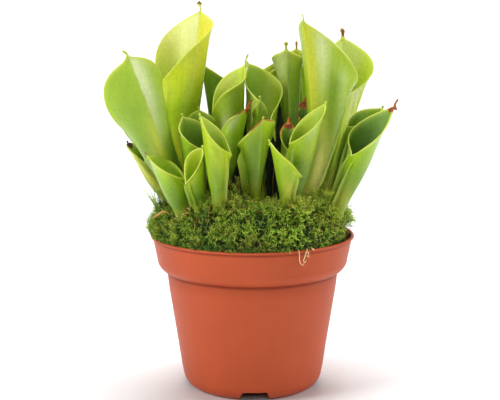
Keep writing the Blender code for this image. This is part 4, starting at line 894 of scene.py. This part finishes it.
MAT_SUNK = 2.6                # how far the tangled underlayer lies below the tips
MOSS_REACH = 58.8             # how far out the moss comes, and how much less on the right
MOSS_DRAWN_IN = 4.6
MOUND_RADIUS = 59.0
MAT_CELLS = (150, 60)         # round it, and from its foot to its middle
MAT_FOOT = 86.0               # the height at which the mat starts inside the pot
HUMPS = [
    # Taller and lower places of the cushion: middle, radius and height.
    (-8.5, -27, 6, 11), (4, -28, 6, -7), (11.5, -24, 4, 3), (4, -2, 20, -10), (-50, -8, 8, 4.5), (30, -38, 6, 3),
    (10, -43, 5, 1.5), (-27, -42, 6, 2.5), (46, 22, 8, 3), (-20, 40, 9, 4), (44, -22, 6, 3),
]


def mound(x, y):
    """The moss cushion's height at each place."""
    reach = np.minimum(np.hypot(x, y) / MOUND_RADIUS, 1.0)
    lumps = np.sin(0.21 * x + 1.3) * np.cos(0.26 * y) + 0.5 * np.sin(0.43 * y - 0.31 * x)
    clumps = bumps(np.atleast_1d(x) * 0.11, np.atleast_1d(y) * 0.11, np.atleast_1d(x) * 0.0 + 4.0)
    ring = np.exp(-(((np.hypot(x, y) - 41.0) / 10.0) ** 2))
    humps = sum(tall * np.exp(-((x - cx) ** 2 + (y - cy) ** 2) / wide ** 2) for cx, cy, wide, tall in HUMPS)
    return moss_height(x, y) + (1.2 * lumps + 3.6 * clumps) * (1.0 - reach ** 4) + 3.2 * ring + humps


def moss_reach(heading):
    """How far out the moss comes: over the rim on the left, drawn in a little on the right."""
    return MOSS_REACH - MOSS_DRAWN_IN * (0.5 + 0.5 * np.cos(heading)) ** 8


def mat_sheet(cells_round, cells_along):
    def shape(column, row):
        heading = column / cells_round * 2.0 * math.pi
        t = row / cells_along
        reach = moss_reach(heading) - 1.0
        radius = np.where(t < 0.12, reach * t / 0.12 * 0.965, reach * np.clip((1.0 - t) / 0.80, 0.0, 1.0))
        radius = np.where((t >= 0.12) & (t < 0.2), reach - 1.0, radius)
        x, y = radius * np.cos(heading), radius * np.sin(heading)
        rough = bumps(x * 0.4, y * 0.4, x * 0.0 + 1.0)
        top = mound(x, y) - MAT_SUNK + 0.9 * rough
        side = MAT_FOOT + (t - 0.12) / 0.08 * 5.5
        z = np.where(t < 0.12, MAT_FOOT, np.where(t < 0.2, side, top))
        return np.stack([x, y, z], axis=1), {"rough": rough * 0.5 + 0.5}

    return wrapped(cells_round, cells_along, shape)


def tangle():
    finish = new_finish("dead_moss_tangle")
    strands = grain(finish, 520.0, 5.0)
    patches = grain(finish, 90.0, 3.0)
    colour = ramp(finish, strands, [
        (0.3, (0.006, 0.009, 0.003)), (0.55, (0.022, 0.036, 0.008)), (0.75, (0.07, 0.085, 0.02))])
    colour = blend(finish, fade(finish, patches, 0.0, 0.6, 0.55, 0.7), colour, (0.05, 0.032, 0.014, 1.0))
    roughness = fade(finish, strands, 0.85, 1.0)
    surface(finish, colour, roughness, strands, 0.0015)
    return finish


moss_mat = set_down(gathered([mat_sheet(*MAT_CELLS)]), "moss_mat", tangle(), 80.0)
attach(moss_mat, "root")
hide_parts("moss")

# --- Moss sprigs -------------------------------------------------------------------------------------------
# The live moss itself: thousands of feathery green shoots a few millimetres long. Eight kinds of shoot are
# made once from thin cones, then set close together over the mat, leaning outwards near the rim.

UNDER_SPRIGS = 7000
TUFTS = 580
TUFT_FEATHERS = 8
TUFT_SPREAD = 1.25
LOOSE_FEATHERS = 900
WIRY_STRANDS = 2300
RIM_SPRIGS = 1500
SPRIG_PIECES = 6
FRONT_LIMIT = 61.4            # no shoot reaches further to the front or back, nor further out
OUTER_LIMIT = 63.6
HOLLOW = (4.5, -23.5, 3.6)    # the bare hollow beside the middle pitcher: its place and radius
STEM_THICK = 0.30
LEAFLET_WIDE = 0.34
BUSHY, FEATHERS, FROND, WIRY = (0, 1), (2, 3, 4), 5, (6, 7)


def leaflet(shoot, base, way, length, width):
    """One thin, three-sided, pointed leaflet."""
    made = bmesh.ops.create_cone(
        shoot, cap_ends=True, segments=3, radius1=width / 2.0, radius2=0.0, depth=length)["verts"]
    lean = Vector((0.0, 0.0, 1.0)).rotation_difference(way).to_matrix().to_4x4()
    place = Matrix.Translation(base) @ lean @ Matrix.Translation((0.0, 0.0, length / 2.0))
    bmesh.ops.transform(shoot, matrix=place, verts=made)
    return made


def shoot_kind(leaflets, height, spread, length, bend, twist, seed):
    """A shoot standing up from the origin: a bent stem with leaflets up both sides or all round."""
    picks = random.Random(seed)
    shoot = bmesh.new()
    up = shoot.verts.layers.float.new("up")

    def on_stem(share):
        return Vector((bend * share * share, 0.0, height * (share - 0.25 * bend / height * share * share)))

    joints = [on_stem(share) for share in (0.0, 0.4, 0.75, 1.0)]
    for low, high in zip(joints[:-1], joints[1:]):
        for corner in leaflet(shoot, low, (high - low).normalized(), (high - low).length * 1.15, STEM_THICK):
            corner[up] = 0.8 * corner.co.z / height
    for number in range(leaflets):
        share = 0.18 + 0.80 * (number + 0.5) / leaflets
        heading = math.pi / 2.0 + number * twist + picks.uniform(-0.4, 0.4)
        across = (math.cos(heading) * spread + 0.5 * bend * share / height, math.sin(heading) * spread)
        way = Vector((*across, picks.uniform(0.5, 0.9))).normalized()
        size = length * (1.0 - 0.45 * share) * picks.uniform(0.75, 1.2)
        for corner in leaflet(shoot, on_stem(share), way, size, LEAFLET_WIDE):
            corner[up] = min(1.0, share + 0.10)
    bmesh.ops.recalc_face_normals(shoot, faces=shoot.faces)
    mesh = bpy.data.meshes.new("shoot")
    shoot.to_mesh(mesh)
    shoot.free()
    return mesh


SHOOT_KINDS = [
    # Leaflets, height, spread, leaflet length, bend, twist from one leaflet to the next, and seed.
    # Short bushy shoots of the underlayer, then long feathers.
    shoot_kind(8, 4.2, 1.1, 2.0, 0.6, 2.4, 5),
    shoot_kind(8, 3.4, 1.3, 1.8, 0.2, 2.4, 13),
    shoot_kind(10, 7.5, 1.0, 2.3, 2.5, math.pi, 3),
    shoot_kind(10, 9.0, 0.9, 2.0, 4.5, math.pi, 8),
    shoot_kind(9, 6.0, 1.2, 2.6, 1.2, math.pi, 21),
    # Long fronds that stand clear of the cushion.
    shoot_kind(26, 17.0, 0.9, 3.0, 3.0, math.pi, 34),
    # Bare wiry strands that run on out of the feathers.
    shoot_kind(3, 9.0, 0.9, 3.0, 5.0, math.pi, 55),
    shoot_kind(4, 7.0, 1.0, 3.4, 3.0, math.pi, 89),
]
SHOOT_CORNERS = [corners_of(shoot) for shoot in SHOOT_KINDS]


def live_moss():
    finish = new_finish("live_moss")
    up = painted(finish, "up")
    shade = painted(finish, "shade")
    patches = grain(finish, 45.0, 3.0)
    fine = grain(finish, 900.0, 3.0)
    fresh = ramp(finish, up, [
        (0.0, (0.018, 0.040, 0.006)), (0.4, (0.070, 0.15, 0.014)), (0.8, (0.23, 0.41, 0.028)),
        (1.0, (0.52, 0.68, 0.07))])
    olive = ramp(finish, up, [
        (0.0, (0.030, 0.034, 0.008)), (0.4, (0.10, 0.13, 0.015)), (0.8, (0.30, 0.35, 0.032)),
        (1.0, (0.60, 0.60, 0.10))])
    deep = ramp(finish, up, [(0.0, (0.010, 0.028, 0.004)), (0.6, (0.028, 0.10, 0.012)), (1.0, (0.13, 0.31, 0.035))])
    colour = blend(finish, fade(finish, patches, 0.0, 0.8, 0.48, 0.62), fresh, olive)
    # A high shade value turns a shoot deep green: its own tone for most shoots, painted shade in the depth of the
    # cushion for the bushy underlayer.
    colour = blend(finish, fade(finish, shade, 0.0, 1.0, 0.55, 1.0), colour, deep)
    colour = blend(finish, fade(finish, shade, 0.75, 0.0, 0.0, 0.18), colour, olive)
    colour = tinted(finish, colour, ramp(finish, fine, [(0.3, (0.72, 0.78, 0.7)), (0.7, (1.2, 1.15, 1.1))]), 0.7)
    # Lighter and paler towards the right.
    sideways = wire(finish, "SeparateXYZ", {0: object_place(finish)}).outputs[0]
    lighter_to_right = ramp(finish, times(finish, sideways, 10.0), [(0.05, (1.0, 1.0, 1.0)), (0.3, (1.25, 1.24, 1.2))])
    colour = tinted(finish, colour, lighter_to_right)
    roughness = fade(finish, fine, 0.55, 0.75)
    surface(finish, colour, roughness, fine, 0.0002, 0.5, Subsurface_Weight=0.1, Subsurface_Radius=(0.6, 1.0, 0.2),
            Subsurface_Scale=0.001, Specular_IOR_Level=0.2)
    return finish


def stalk_places():
    """Where the pitchers pierce the moss, and how thick each is there."""
    places = []
    for leaf in LEAVES:
        guides, shares, _ = spine(leaf)
        for rise in (shares[2], shares[2] + 0.06):
            place, _ = along_spine(guides, shares, np.array([rise]))
            places.append((place[0][0], place[0][1], leaf["tube"] / 2.0))
    return np.array(places)


def planted(sprigs, name, finish):
    """Set shoots into one piece: each is (kind, matrix, shade)."""
    bed = bmesh.new()
    shades = []
    for kind, matrix, shade in sprigs:
        shoot = SHOOT_KINDS[kind]
        shoot.transform(matrix)
        bed.from_mesh(shoot)
        shoot.transform(matrix.inverted())
        shades.append(np.full(len(shoot.vertices), shade))
    piece = set_down(bed, name, finish, 40.0)
    layer = piece.data.attributes.new("shade", "FLOAT", "POINT")
    layer.data.foreach_set("value", np.concatenate(shades).astype(np.float32))
    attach(piece, "root")
    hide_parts("moss")


def shoot_matrix(place, lean, turn, size):
    upright = Vector((0.0, 0.0, 1.0)).rotation_difference(Vector(lean).normalized()).to_matrix().to_4x4()
    return Matrix.Translation(place) @ upright @ Matrix.Rotation(turn, 4, "Z") @ Matrix.Scale(size, 4)


def open_spots(picks, count, stalks, clearance):
    """Places on the moss that no pitcher passes through, clear too of the hollow beside the middle pitcher."""
    spots = []
    stalks = np.vstack([stalks, [HOLLOW]])
    while len(spots) < count:
        heading = picks.uniform(0.0, 2.0 * math.pi)
        radius = moss_reach(heading) * math.sqrt(picks.random())
        x, y = on_circle(radius, heading)
        if np.min(np.hypot(stalks[:, 0] - x, stalks[:, 1] - y) - stalks[:, 2]) > clearance:
            spots.append((x, y, heading, radius))
    return np.array(spots)


def slope_of(x, y):
    return mound(x + 0.5, y) - mound(x - 0.5, y), mound(x, y + 0.5) - mound(x, y - 0.5)


def kept_in(kind, place, lean, turn, size):
    """A shoot's matrix, or one that leans less where the shoot would reach too far past the pot's rim."""
    for share in (1.0, 0.5, 0.0, -0.5):
        matrix = shoot_matrix(place, (lean[0] * share, lean[1] * share, 1.0), turn, size)
        turned_by = np.array(matrix)
        places = SHOOT_CORNERS[kind] @ turned_by[:3, :3].T + turned_by[:3, 3]
        if np.abs(places[:, 1]).max() < FRONT_LIMIT and np.hypot(places[:, 0], places[:, 1]).max() < OUTER_LIMIT:
            return matrix
    return None


def clamped(value):
    return min(1.0, max(0.0, value))


def sprig_bed(picks, count, kinds, spread, sizes, sunk, clearance, shade_shift):
    """Shoots set over the mound, each leaning with the slope, outwards near the rim and a little at random."""
    xs, ys, headings, radii = open_spots(picks, count, stalk_places(), clearance).T
    heights = mound(xs, ys)
    sprigs = []
    for x, y, heading, radius, z, dx, dy in zip(xs, ys, headings, radii, heights, *slope_of(xs, ys)):
        out = on_circle(max(0.0, radius / MOUND_RADIUS - 0.75) * 2.0, heading)
        lean = (out[0] - dx + picks.gauss(0, spread), out[1] - dy + picks.gauss(0, spread))
        patch = noise.noise(Vector((x * 0.07, y * 0.07, 9.0)))
        shade = clamped(shade_shift + 0.35 * patch + picks.gauss(0, 0.16) + 0.22 * (y < -45.0))
        kind = picks.choice(kinds)
        matrix = kept_in(kind, (x, y, z - sunk), lean, picks.uniform(0, 2.0 * math.pi), picks.uniform(*sizes))
        if matrix:
            sprigs.append((kind, matrix, shade))
    return sprigs


def tufts(picks, count, each):
    """Feathers in tufts: those of one tuft start close together, lean the same way and have one shade."""
    xs, ys, headings, radii = open_spots(picks, count, stalk_places(), 0.2).T
    sprigs = []
    for x, y, heading, radius, dx, dy in zip(xs, ys, headings, radii, *slope_of(xs, ys)):
        out = on_circle(max(0.0, radius / MOUND_RADIUS - 0.7) * 1.6, heading)
        way = picks.uniform(0.0, 2.0 * math.pi)
        bent = on_circle(picks.uniform(0.1, 0.8), way)
        lean = (out[0] - dx + bent[0], out[1] - dy + bent[1])
        patch = noise.noise(Vector((x * 0.06, y * 0.06, 9.0)))
        # Deeper green along the front rim, paler on the right, in front of the middle and at the left edge.
        shade = 0.38 + 0.5 * patch + picks.gauss(0, 0.18) + 0.2 * (y < -45.0) - 0.40 * (x > 14.0)
        middle = math.exp(-((x + 9.5) ** 2 + (y + 36.0) ** 2) / 70.0)
        shade -= 0.5 * middle + 0.35 * math.exp(-((x + 46.0) ** 2 + (y + 24.0) ** 2) / 150.0)
        size = picks.uniform(0.75, 1.15)
        for _ in range(each):
            place = (x + picks.gauss(0, TUFT_SPREAD), y + picks.gauss(0, TUFT_SPREAD))
            foot = (*place, float(mound(*place)[0]) - MAT_SUNK + 0.3)
            tilt = (lean[0] + picks.gauss(0, 0.3), lean[1] + picks.gauss(0, 0.3))
            kind = picks.choice(FEATHERS)
            turn = picks.uniform(0, 2.0 * math.pi)
            matrix = kept_in(kind, foot, tilt, turn, size * picks.uniform(0.75, 1.2))
            if matrix:
                sprigs.append((kind, matrix, clamped(shade + picks.gauss(0, 0.07))))
    return sprigs


FRONDS = [
    # Foot, which way it leans, its size and shade.
    ((-52.5, -12), (-0.42, -0.1), 1.35, 0.30), ((-54, -9), (-0.25, 0), 1.0, 0.25),
    ((-51, -16), (-0.55, -0.2), 0.95, 0.2), ((-51.5, -12.5), (-0.30, -0.1), 1.15, 0.30),
    ((-49, -20), (-0.20, -0.1), 0.6, 0.3), ((52, -8), (0.45, 0), 0.62, 0.3), ((53, -2), (0.8, 0), 0.55, 0.4),
    ((49.5, -15), (0.25, -0.2), 0.6, 0.3), ((50, 8), (0.4, 0.2), 0.7, 0.45), ((-9, -30), (0.1, 0), 0.75, 0.05),
    ((-13, -29), (-0.3, 0), 0.7, 0.1), ((8.5, -30), (0.2, -0.1), 0.6, 0.35), ((-26, -38), (0.3, -0.1), 0.55, 0.3),
    ((33, -30), (0.3, 0), 0.8, 0.25), ((38, -27), (0.5, 0.1), 0.9, 0.3), ((41, -22), (0.1, -0.2), 0.85, 0.35),
    ((-46, 18), (-0.4, 0.3), 0.8, 0.3), ((10, 47), (0.1, 0.4), 0.7, 0.3), ((-30, 43), (-0.2, 0.3), 0.7, 0.2),
    ((35, 40), (0.3, 0.3), 0.7, 0.4),
]
FROND_TURNS = (0.0, 1.0, 2.1)
RIM_KINDS = (1, 4, 7)
RIM_FOOT = 90.2               # the height at which the shoots by the rim start
GOLDEN_ANGLE = 2.399963       # from one shoot by the rim to the next, so that they spread evenly

moss_finish = live_moss()
picks = random.Random(21)
# The bushy underlayer gets high shade values: deep green, painted shade in the depth of the cushion.
bed = sprig_bed(picks, UNDER_SPRIGS, BUSHY, 0.45, (0.6, 1.0), MAT_SUNK + 0.8, -0.4, 0.8)
bed += sprig_bed(picks, LOOSE_FEATHERS, FEATHERS, 0.8, (0.6, 1.1), MAT_SUNK + 0.2, 0.6, 0.30)
bed += sprig_bed(picks, WIRY_STRANDS, WIRY, 1.0, (0.6, 1.1), MAT_SUNK - 1.0, 0.3, 0.34)
bed += tufts(picks, TUFTS, TUFT_FEATHERS)
for number in range(RIM_SPRIGS):
    heading = number * GOLDEN_ANGLE
    x, y = on_circle(moss_reach(heading) - 0.4 - 2.6 * picks.random(), heading)
    kind = picks.choice(RIM_KINDS)
    tilt = (picks.gauss(0.15, 0.5) * math.cos(heading), picks.gauss(0.15, 0.5) * math.sin(heading))
    foot = (x, y, RIM_FOOT + picks.uniform(-0.5, 0.8))
    turn = picks.uniform(0, 2.0 * math.pi)
    matrix = kept_in(kind, foot, tilt, turn, picks.uniform(0.5, 0.85))
    if matrix:
        bed.append((kind, matrix, clamped(picks.gauss(0.75, 0.25))))
for foot, lean, size, shade in FRONDS:
    ground = float(mound(*foot)[0]) - MAT_SUNK
    for turn in FROND_TURNS:
        bed.append((FROND, shoot_matrix((*foot, ground), (*lean, 1.0), turn + foot[0], size), shade))
for part in range(SPRIG_PIECES):
    planted(bed[part::SPRIG_PIECES], f"moss_sprigs_{part + 1}", moss_finish)

# --- Strays ------------------------------------------------------------------------------------------------
# What lies loose on the moss: pale root threads over the rim, dry bracts and strands, crumbs of bark and
# hair-thin threads by the stalks. The threads are grids wrapped into bent tubes, the crumbs crushed balls.

DEAD_STRANDS = 240
STRANDS_WITHIN = 56.0         # the radius that they start in, and the one that they stay in
STRANDS_KEPT_IN = 58.0
CRUMBS = 60                   # in the heap at the left, and as many elsewhere
CRUMBS_WITHIN = 52.0
THREAD_SIDES = 6
HEAP = (-41.5, -34.5)
HEAP_SPREAD = (3.4, 2.2)


def dry_bits():
    finish = new_finish("dry_plant_bits")
    pale = painted(finish, "pale")
    fibres = grain(finish, 700.0, 3.0)
    colour = ramp(finish, pale, [
        (0.0, (0.16, 0.055, 0.014)), (0.4, (0.50, 0.25, 0.05)), (0.7, (0.76, 0.52, 0.18)), (1.0, (0.84, 0.68, 0.40))])
    colour = tinted(finish, colour, ramp(finish, fibres, [(0.3, (0.62, 0.55, 0.45)), (0.7, (1.2, 1.15, 1.0))]), 0.6)
    roughness = fade(finish, fibres, 0.6, 0.85)
    surface(finish, colour, roughness, fibres, 0.0003)
    return finish


def thread(points, radius, pale, squash=1.0):
    """A thin bent strand through the given places, closed at both ends."""
    guides = np.array(points, float)
    gaps = np.linalg.norm(np.diff(guides, axis=0), axis=1)
    shares = np.concatenate([[0.0], np.cumsum(gaps)]) / gaps.sum()
    steps = 6 * len(points)

    def shape(column, row):
        turn, t = column / THREAD_SIDES * 2.0 * math.pi, row / steps
        place, way = along_spine(guides, shares, t)
        across = unit(np.cross(way, (0.3, 0.5, 0.2)))
        other = np.cross(way, across)
        thick = (radius * np.sin(math.pi * t) ** 0.3)[:, None] * (t > 0.0)[:, None] * (t < 1.0)[:, None]
        round_way = across * np.cos(turn)[:, None] * squash + other * np.sin(turn)[:, None]
        return place + thick * round_way, {"pale": t * 0.0 + pale}

    return wrapped(THREAD_SIDES, steps, shape)


def crumb(bits, place, size, pale, picks):
    made = bmesh.ops.create_icosphere(bits, subdivisions=1, radius=size)["verts"]
    for corner in made:
        corner.co *= picks.uniform(0.6, 1.25)
        corner[bits.verts.layers.float["pale"]] = pale
    bmesh.ops.scale(bits, verts=made, vec=(1.0, 0.8, 0.5))
    bmesh.ops.rotate(bits, verts=made, matrix=Matrix.Rotation(picks.uniform(0, 3.0), 3, "Z"))
    bmesh.ops.translate(bits, verts=made, vec=place)


def anywhere(picks, reach):
    heading = picks.uniform(0.0, 2.0 * math.pi)
    return on_circle(reach * math.sqrt(picks.random()), heading)


def lying(x, y, lift):
    return x, y, float(mound(x, y)[0]) + lift


THREADS = [
    # The places that it runs through, its radius and how pale it is, and how much wider the flat ones are.
    # Root threads hooked over the rim at the front right.
    ([(24.8, -52.5, 92.6), (25.6, -54.6, 92.0), (25.9, -54.7, 89.5), (26.0, -54.0, 87.0), (26.8, -53.6, 84.6),
      (28.0, -52.9, 83.6), (28.6, -52.7, 85.4)], 0.30, 0.95),
    ([(30.2, -50.0, 92.8), (30.2, -52.6, 92.2), (29.4, -52.9, 90.0), (28.8, -52.9, 87.8), (28.2, -53.0, 86.2),
      (29.0, -52.6, 85.2), (30.0, -52.2, 86.6)], 0.34, 1.0),
    ([(30.0, -52.6, 91.6), (31.2, -51.9, 90.0), (30.6, -52.1, 88.4), (31.8, -51.4, 88.0)], 0.28, 0.95),
    ([(32.6, -47.6, 92.6), (33.4, -50.6, 92.4), (34.4, -50.0, 91.6)], 0.45, 0.85),
    ([(21.0, -53.2, 92.6), (20.4, -56.7, 92.3), (21.2, -56.6, 90.6)], 0.22, 0.75),
    # Dry bracts: at the left edge, by the front right pitcher, where it curls, and in front of the middle one.
    ([(-57.2, -20.0, 104.4), (-54.5, -20.8, 106.4), (-51.0, -21.5, 108.4), (-47.0, -21.5, 106.5)], 0.5, 0.5, 1.6),
    ([(20.8, -38.5, 111.0), (20.0, -39.6, 113.4), (21.6, -40.2, 115.6), (24.0, -39.8, 115.0), (24.2, -39.0, 112.6)],
     0.36, 0.4),
    ([(-0.8, -33.0, 115.0), (0.6, -34.2, 116.8), (2.4, -34.0, 116.6), (3.4, -33.6, 115.0)], 0.42, 0.3, 1.5),
]
strands = [thread(*bit) for bit in THREADS]
# Hair-thin threads between the stalks, each from its foot to its tip.
for foot, tip in [((-10.0, -18.0), (-14.0, -20.0, 142.0)), ((-8.0, -18.0), (-3.0, -20.0, 137.0)),
                  ((12.0, -16.0), (15.0, -19.0, 146.0)), ((9.0, -18.0), (4.0, -20.0, 139.0)),
                  ((36.0, -24.0), (43.0, -25.0, 139.0)), ((40.0, -18.0), (48.0, -21.0, 134.0))]:
    ground = float(mound(*foot)[0]) - 2.0
    bend = (foot[0] * 0.4 + tip[0] * 0.6 - 1.5, (foot[1] + tip[1]) / 2.0, 0.35 * ground + 0.65 * tip[2])
    strands.append(thread([(*foot, ground), bend, tip], 0.14, 0.5))
# Dead brown strands caught in the moss.
litter = random.Random(4)
for _ in range(DEAD_STRANDS):
    x, y = anywhere(litter, STRANDS_WITHIN)
    way = litter.uniform(0.0, 2.0 * math.pi)
    along = on_circle(litter.uniform(2.0, 4.5), way)
    places = [(x - along[0], y - along[1]), (x + 0.4 * along[1], y - 0.4 * along[0]), (x + along[0], y + along[1])]
    if max(math.hypot(*place) for place in places) < STRANDS_KEPT_IN:
        lifts = (litter.uniform(-1.0, 1.6), litter.uniform(2.0, 4.2), litter.uniform(-1.0, 2.6))
        points = [lying(*place, lift) for place, lift in zip(places, lifts)]
        strands.append(thread(points, litter.uniform(0.10, 0.2), litter.uniform(0.05, 0.5)))
bits = gathered(strands)
for _ in range(CRUMBS):
    x, y = litter.gauss(HEAP[0], HEAP_SPREAD[0]), litter.gauss(HEAP[1], HEAP_SPREAD[1])
    place = lying(x, y, litter.uniform(3.6, 6.0))
    crumb(bits, place, litter.uniform(0.4, 0.9), litter.uniform(0.4, 1.0), litter)
for _ in range(CRUMBS):
    place = lying(*anywhere(litter, CRUMBS_WITHIN), litter.uniform(-0.6, 1.2))
    crumb(bits, place, litter.uniform(0.3, 0.8), litter.uniform(0.0, 0.7), litter)
bmesh.ops.recalc_face_normals(bits, faces=bits.faces)
strays = set_down(bits, "dry_strays", dry_bits())
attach(strays, "root")

# --- Floor, light and camera -------------------------------------------------------------------------------
# A pale studio sweep of paper, soft boxes at the left, at the right and overhead, a weak one in front and one
# that lights the backdrop. The camera stands at the height of the leaves' tops and looks slightly down.

SWEEP_WIDE = 24.0             # metres, as all that follows
SWEEP_FRONT = -4.0
SWEEP_BEND = 1.3              # where it starts to rise behind the plant
SWEEP_RADIUS = 0.7            # of that bend
SWEEP_TALL = 40.0
CAMERA_PLACE = (-0.00145, -0.8, 0.2428)
CAMERA_PITCH = 9.31           # degrees below the level
LENS_LENGTH = 99.0            # millimetres, on a sensor 36 mm wide


def studio_paper():
    finish = new_finish("studio_paper")
    fibre = grain(finish, 6.0, 3.0)
    surface(finish, fade(finish, fibre, 0.86, 0.90), fade(finish, fibre, 0.85, 0.95), fibre, 0.0005, 0.1)
    return finish


def sweep_shape(column, row):
    x = (column / 4.0 - 0.5) * SWEEP_WIDE
    t = row / 40.0
    turn = np.clip((t - 0.6) / 0.3, 0.0, 1.0) * math.pi / 2.0
    on_floor = SWEEP_FRONT + t / 0.6 * (SWEEP_BEND - SWEEP_FRONT)
    y = np.where(t < 0.6, on_floor, SWEEP_BEND + SWEEP_RADIUS * np.sin(turn))
    z = np.where(t < 0.6, 0.0, SWEEP_RADIUS * (1.0 - np.cos(turn)) + np.clip(t - 0.9, 0, 1) * SWEEP_TALL)
    return np.stack([x, y, z], axis=1) * 1000.0, {}


sweep = set_down(gathered([wrapped(4, 40, sweep_shape)]), "studio_sweep", studio_paper(), 60.0)
sweep.data.flip_normals()


def soft_box(name, place, aim, size, power):
    lamp = bpy.data.lights.new(name, "AREA")
    lamp.shape, lamp.size, lamp.energy = "DISK", size, power
    made = bpy.data.objects.new(name, lamp)
    made.location = place
    made.rotation_euler = (Vector(aim) - Vector(place)).to_track_quat("-Z", "Y").to_euler()
    bpy.context.scene.collection.objects.link(made)


PLANT_MIDDLE = (0.0, 0.0, 0.12)
soft_box("soft_box_left", (-1.38, -0.72, 0.80), PLANT_MIDDLE, 0.7, 16.5)
soft_box("soft_box_right", (1.45, -0.05, 0.60), PLANT_MIDDLE, 0.7, 9.5)
soft_box("soft_box_top", (0.0, 0.1, 1.4), PLANT_MIDDLE, 0.8, 15.0)
soft_box("soft_box_front", (0.10, -1.30, 0.70), (0.0, 0.0, 0.14), 0.5, 3.5)
soft_box("backdrop_light", (0.0, 0.9, 1.1), (0.0, 1.7, 0.1), 1.2, 16.0)

surround = bpy.data.worlds.new("studio_surround")
surround.use_nodes = True
surround.node_tree.nodes["Background"].inputs["Color"].default_value = (1.0, 1.0, 1.0, 1.0)
surround.node_tree.nodes["Background"].inputs["Strength"].default_value = 0.09
bpy.context.scene.world = surround
bpy.context.scene.view_settings.view_transform = "Standard"

lens = bpy.data.cameras.new("photo_camera")
lens.lens, lens.sensor_width, lens.clip_end = LENS_LENGTH, 36.0, 100.0
camera = bpy.data.objects.new("photo_camera", lens)
camera.location = CAMERA_PLACE
camera.rotation_euler = (math.radians(90.0 - CAMERA_PITCH), 0.0, 0.0)
bpy.context.scene.collection.objects.link(camera)
bpy.context.scene.camera = camera
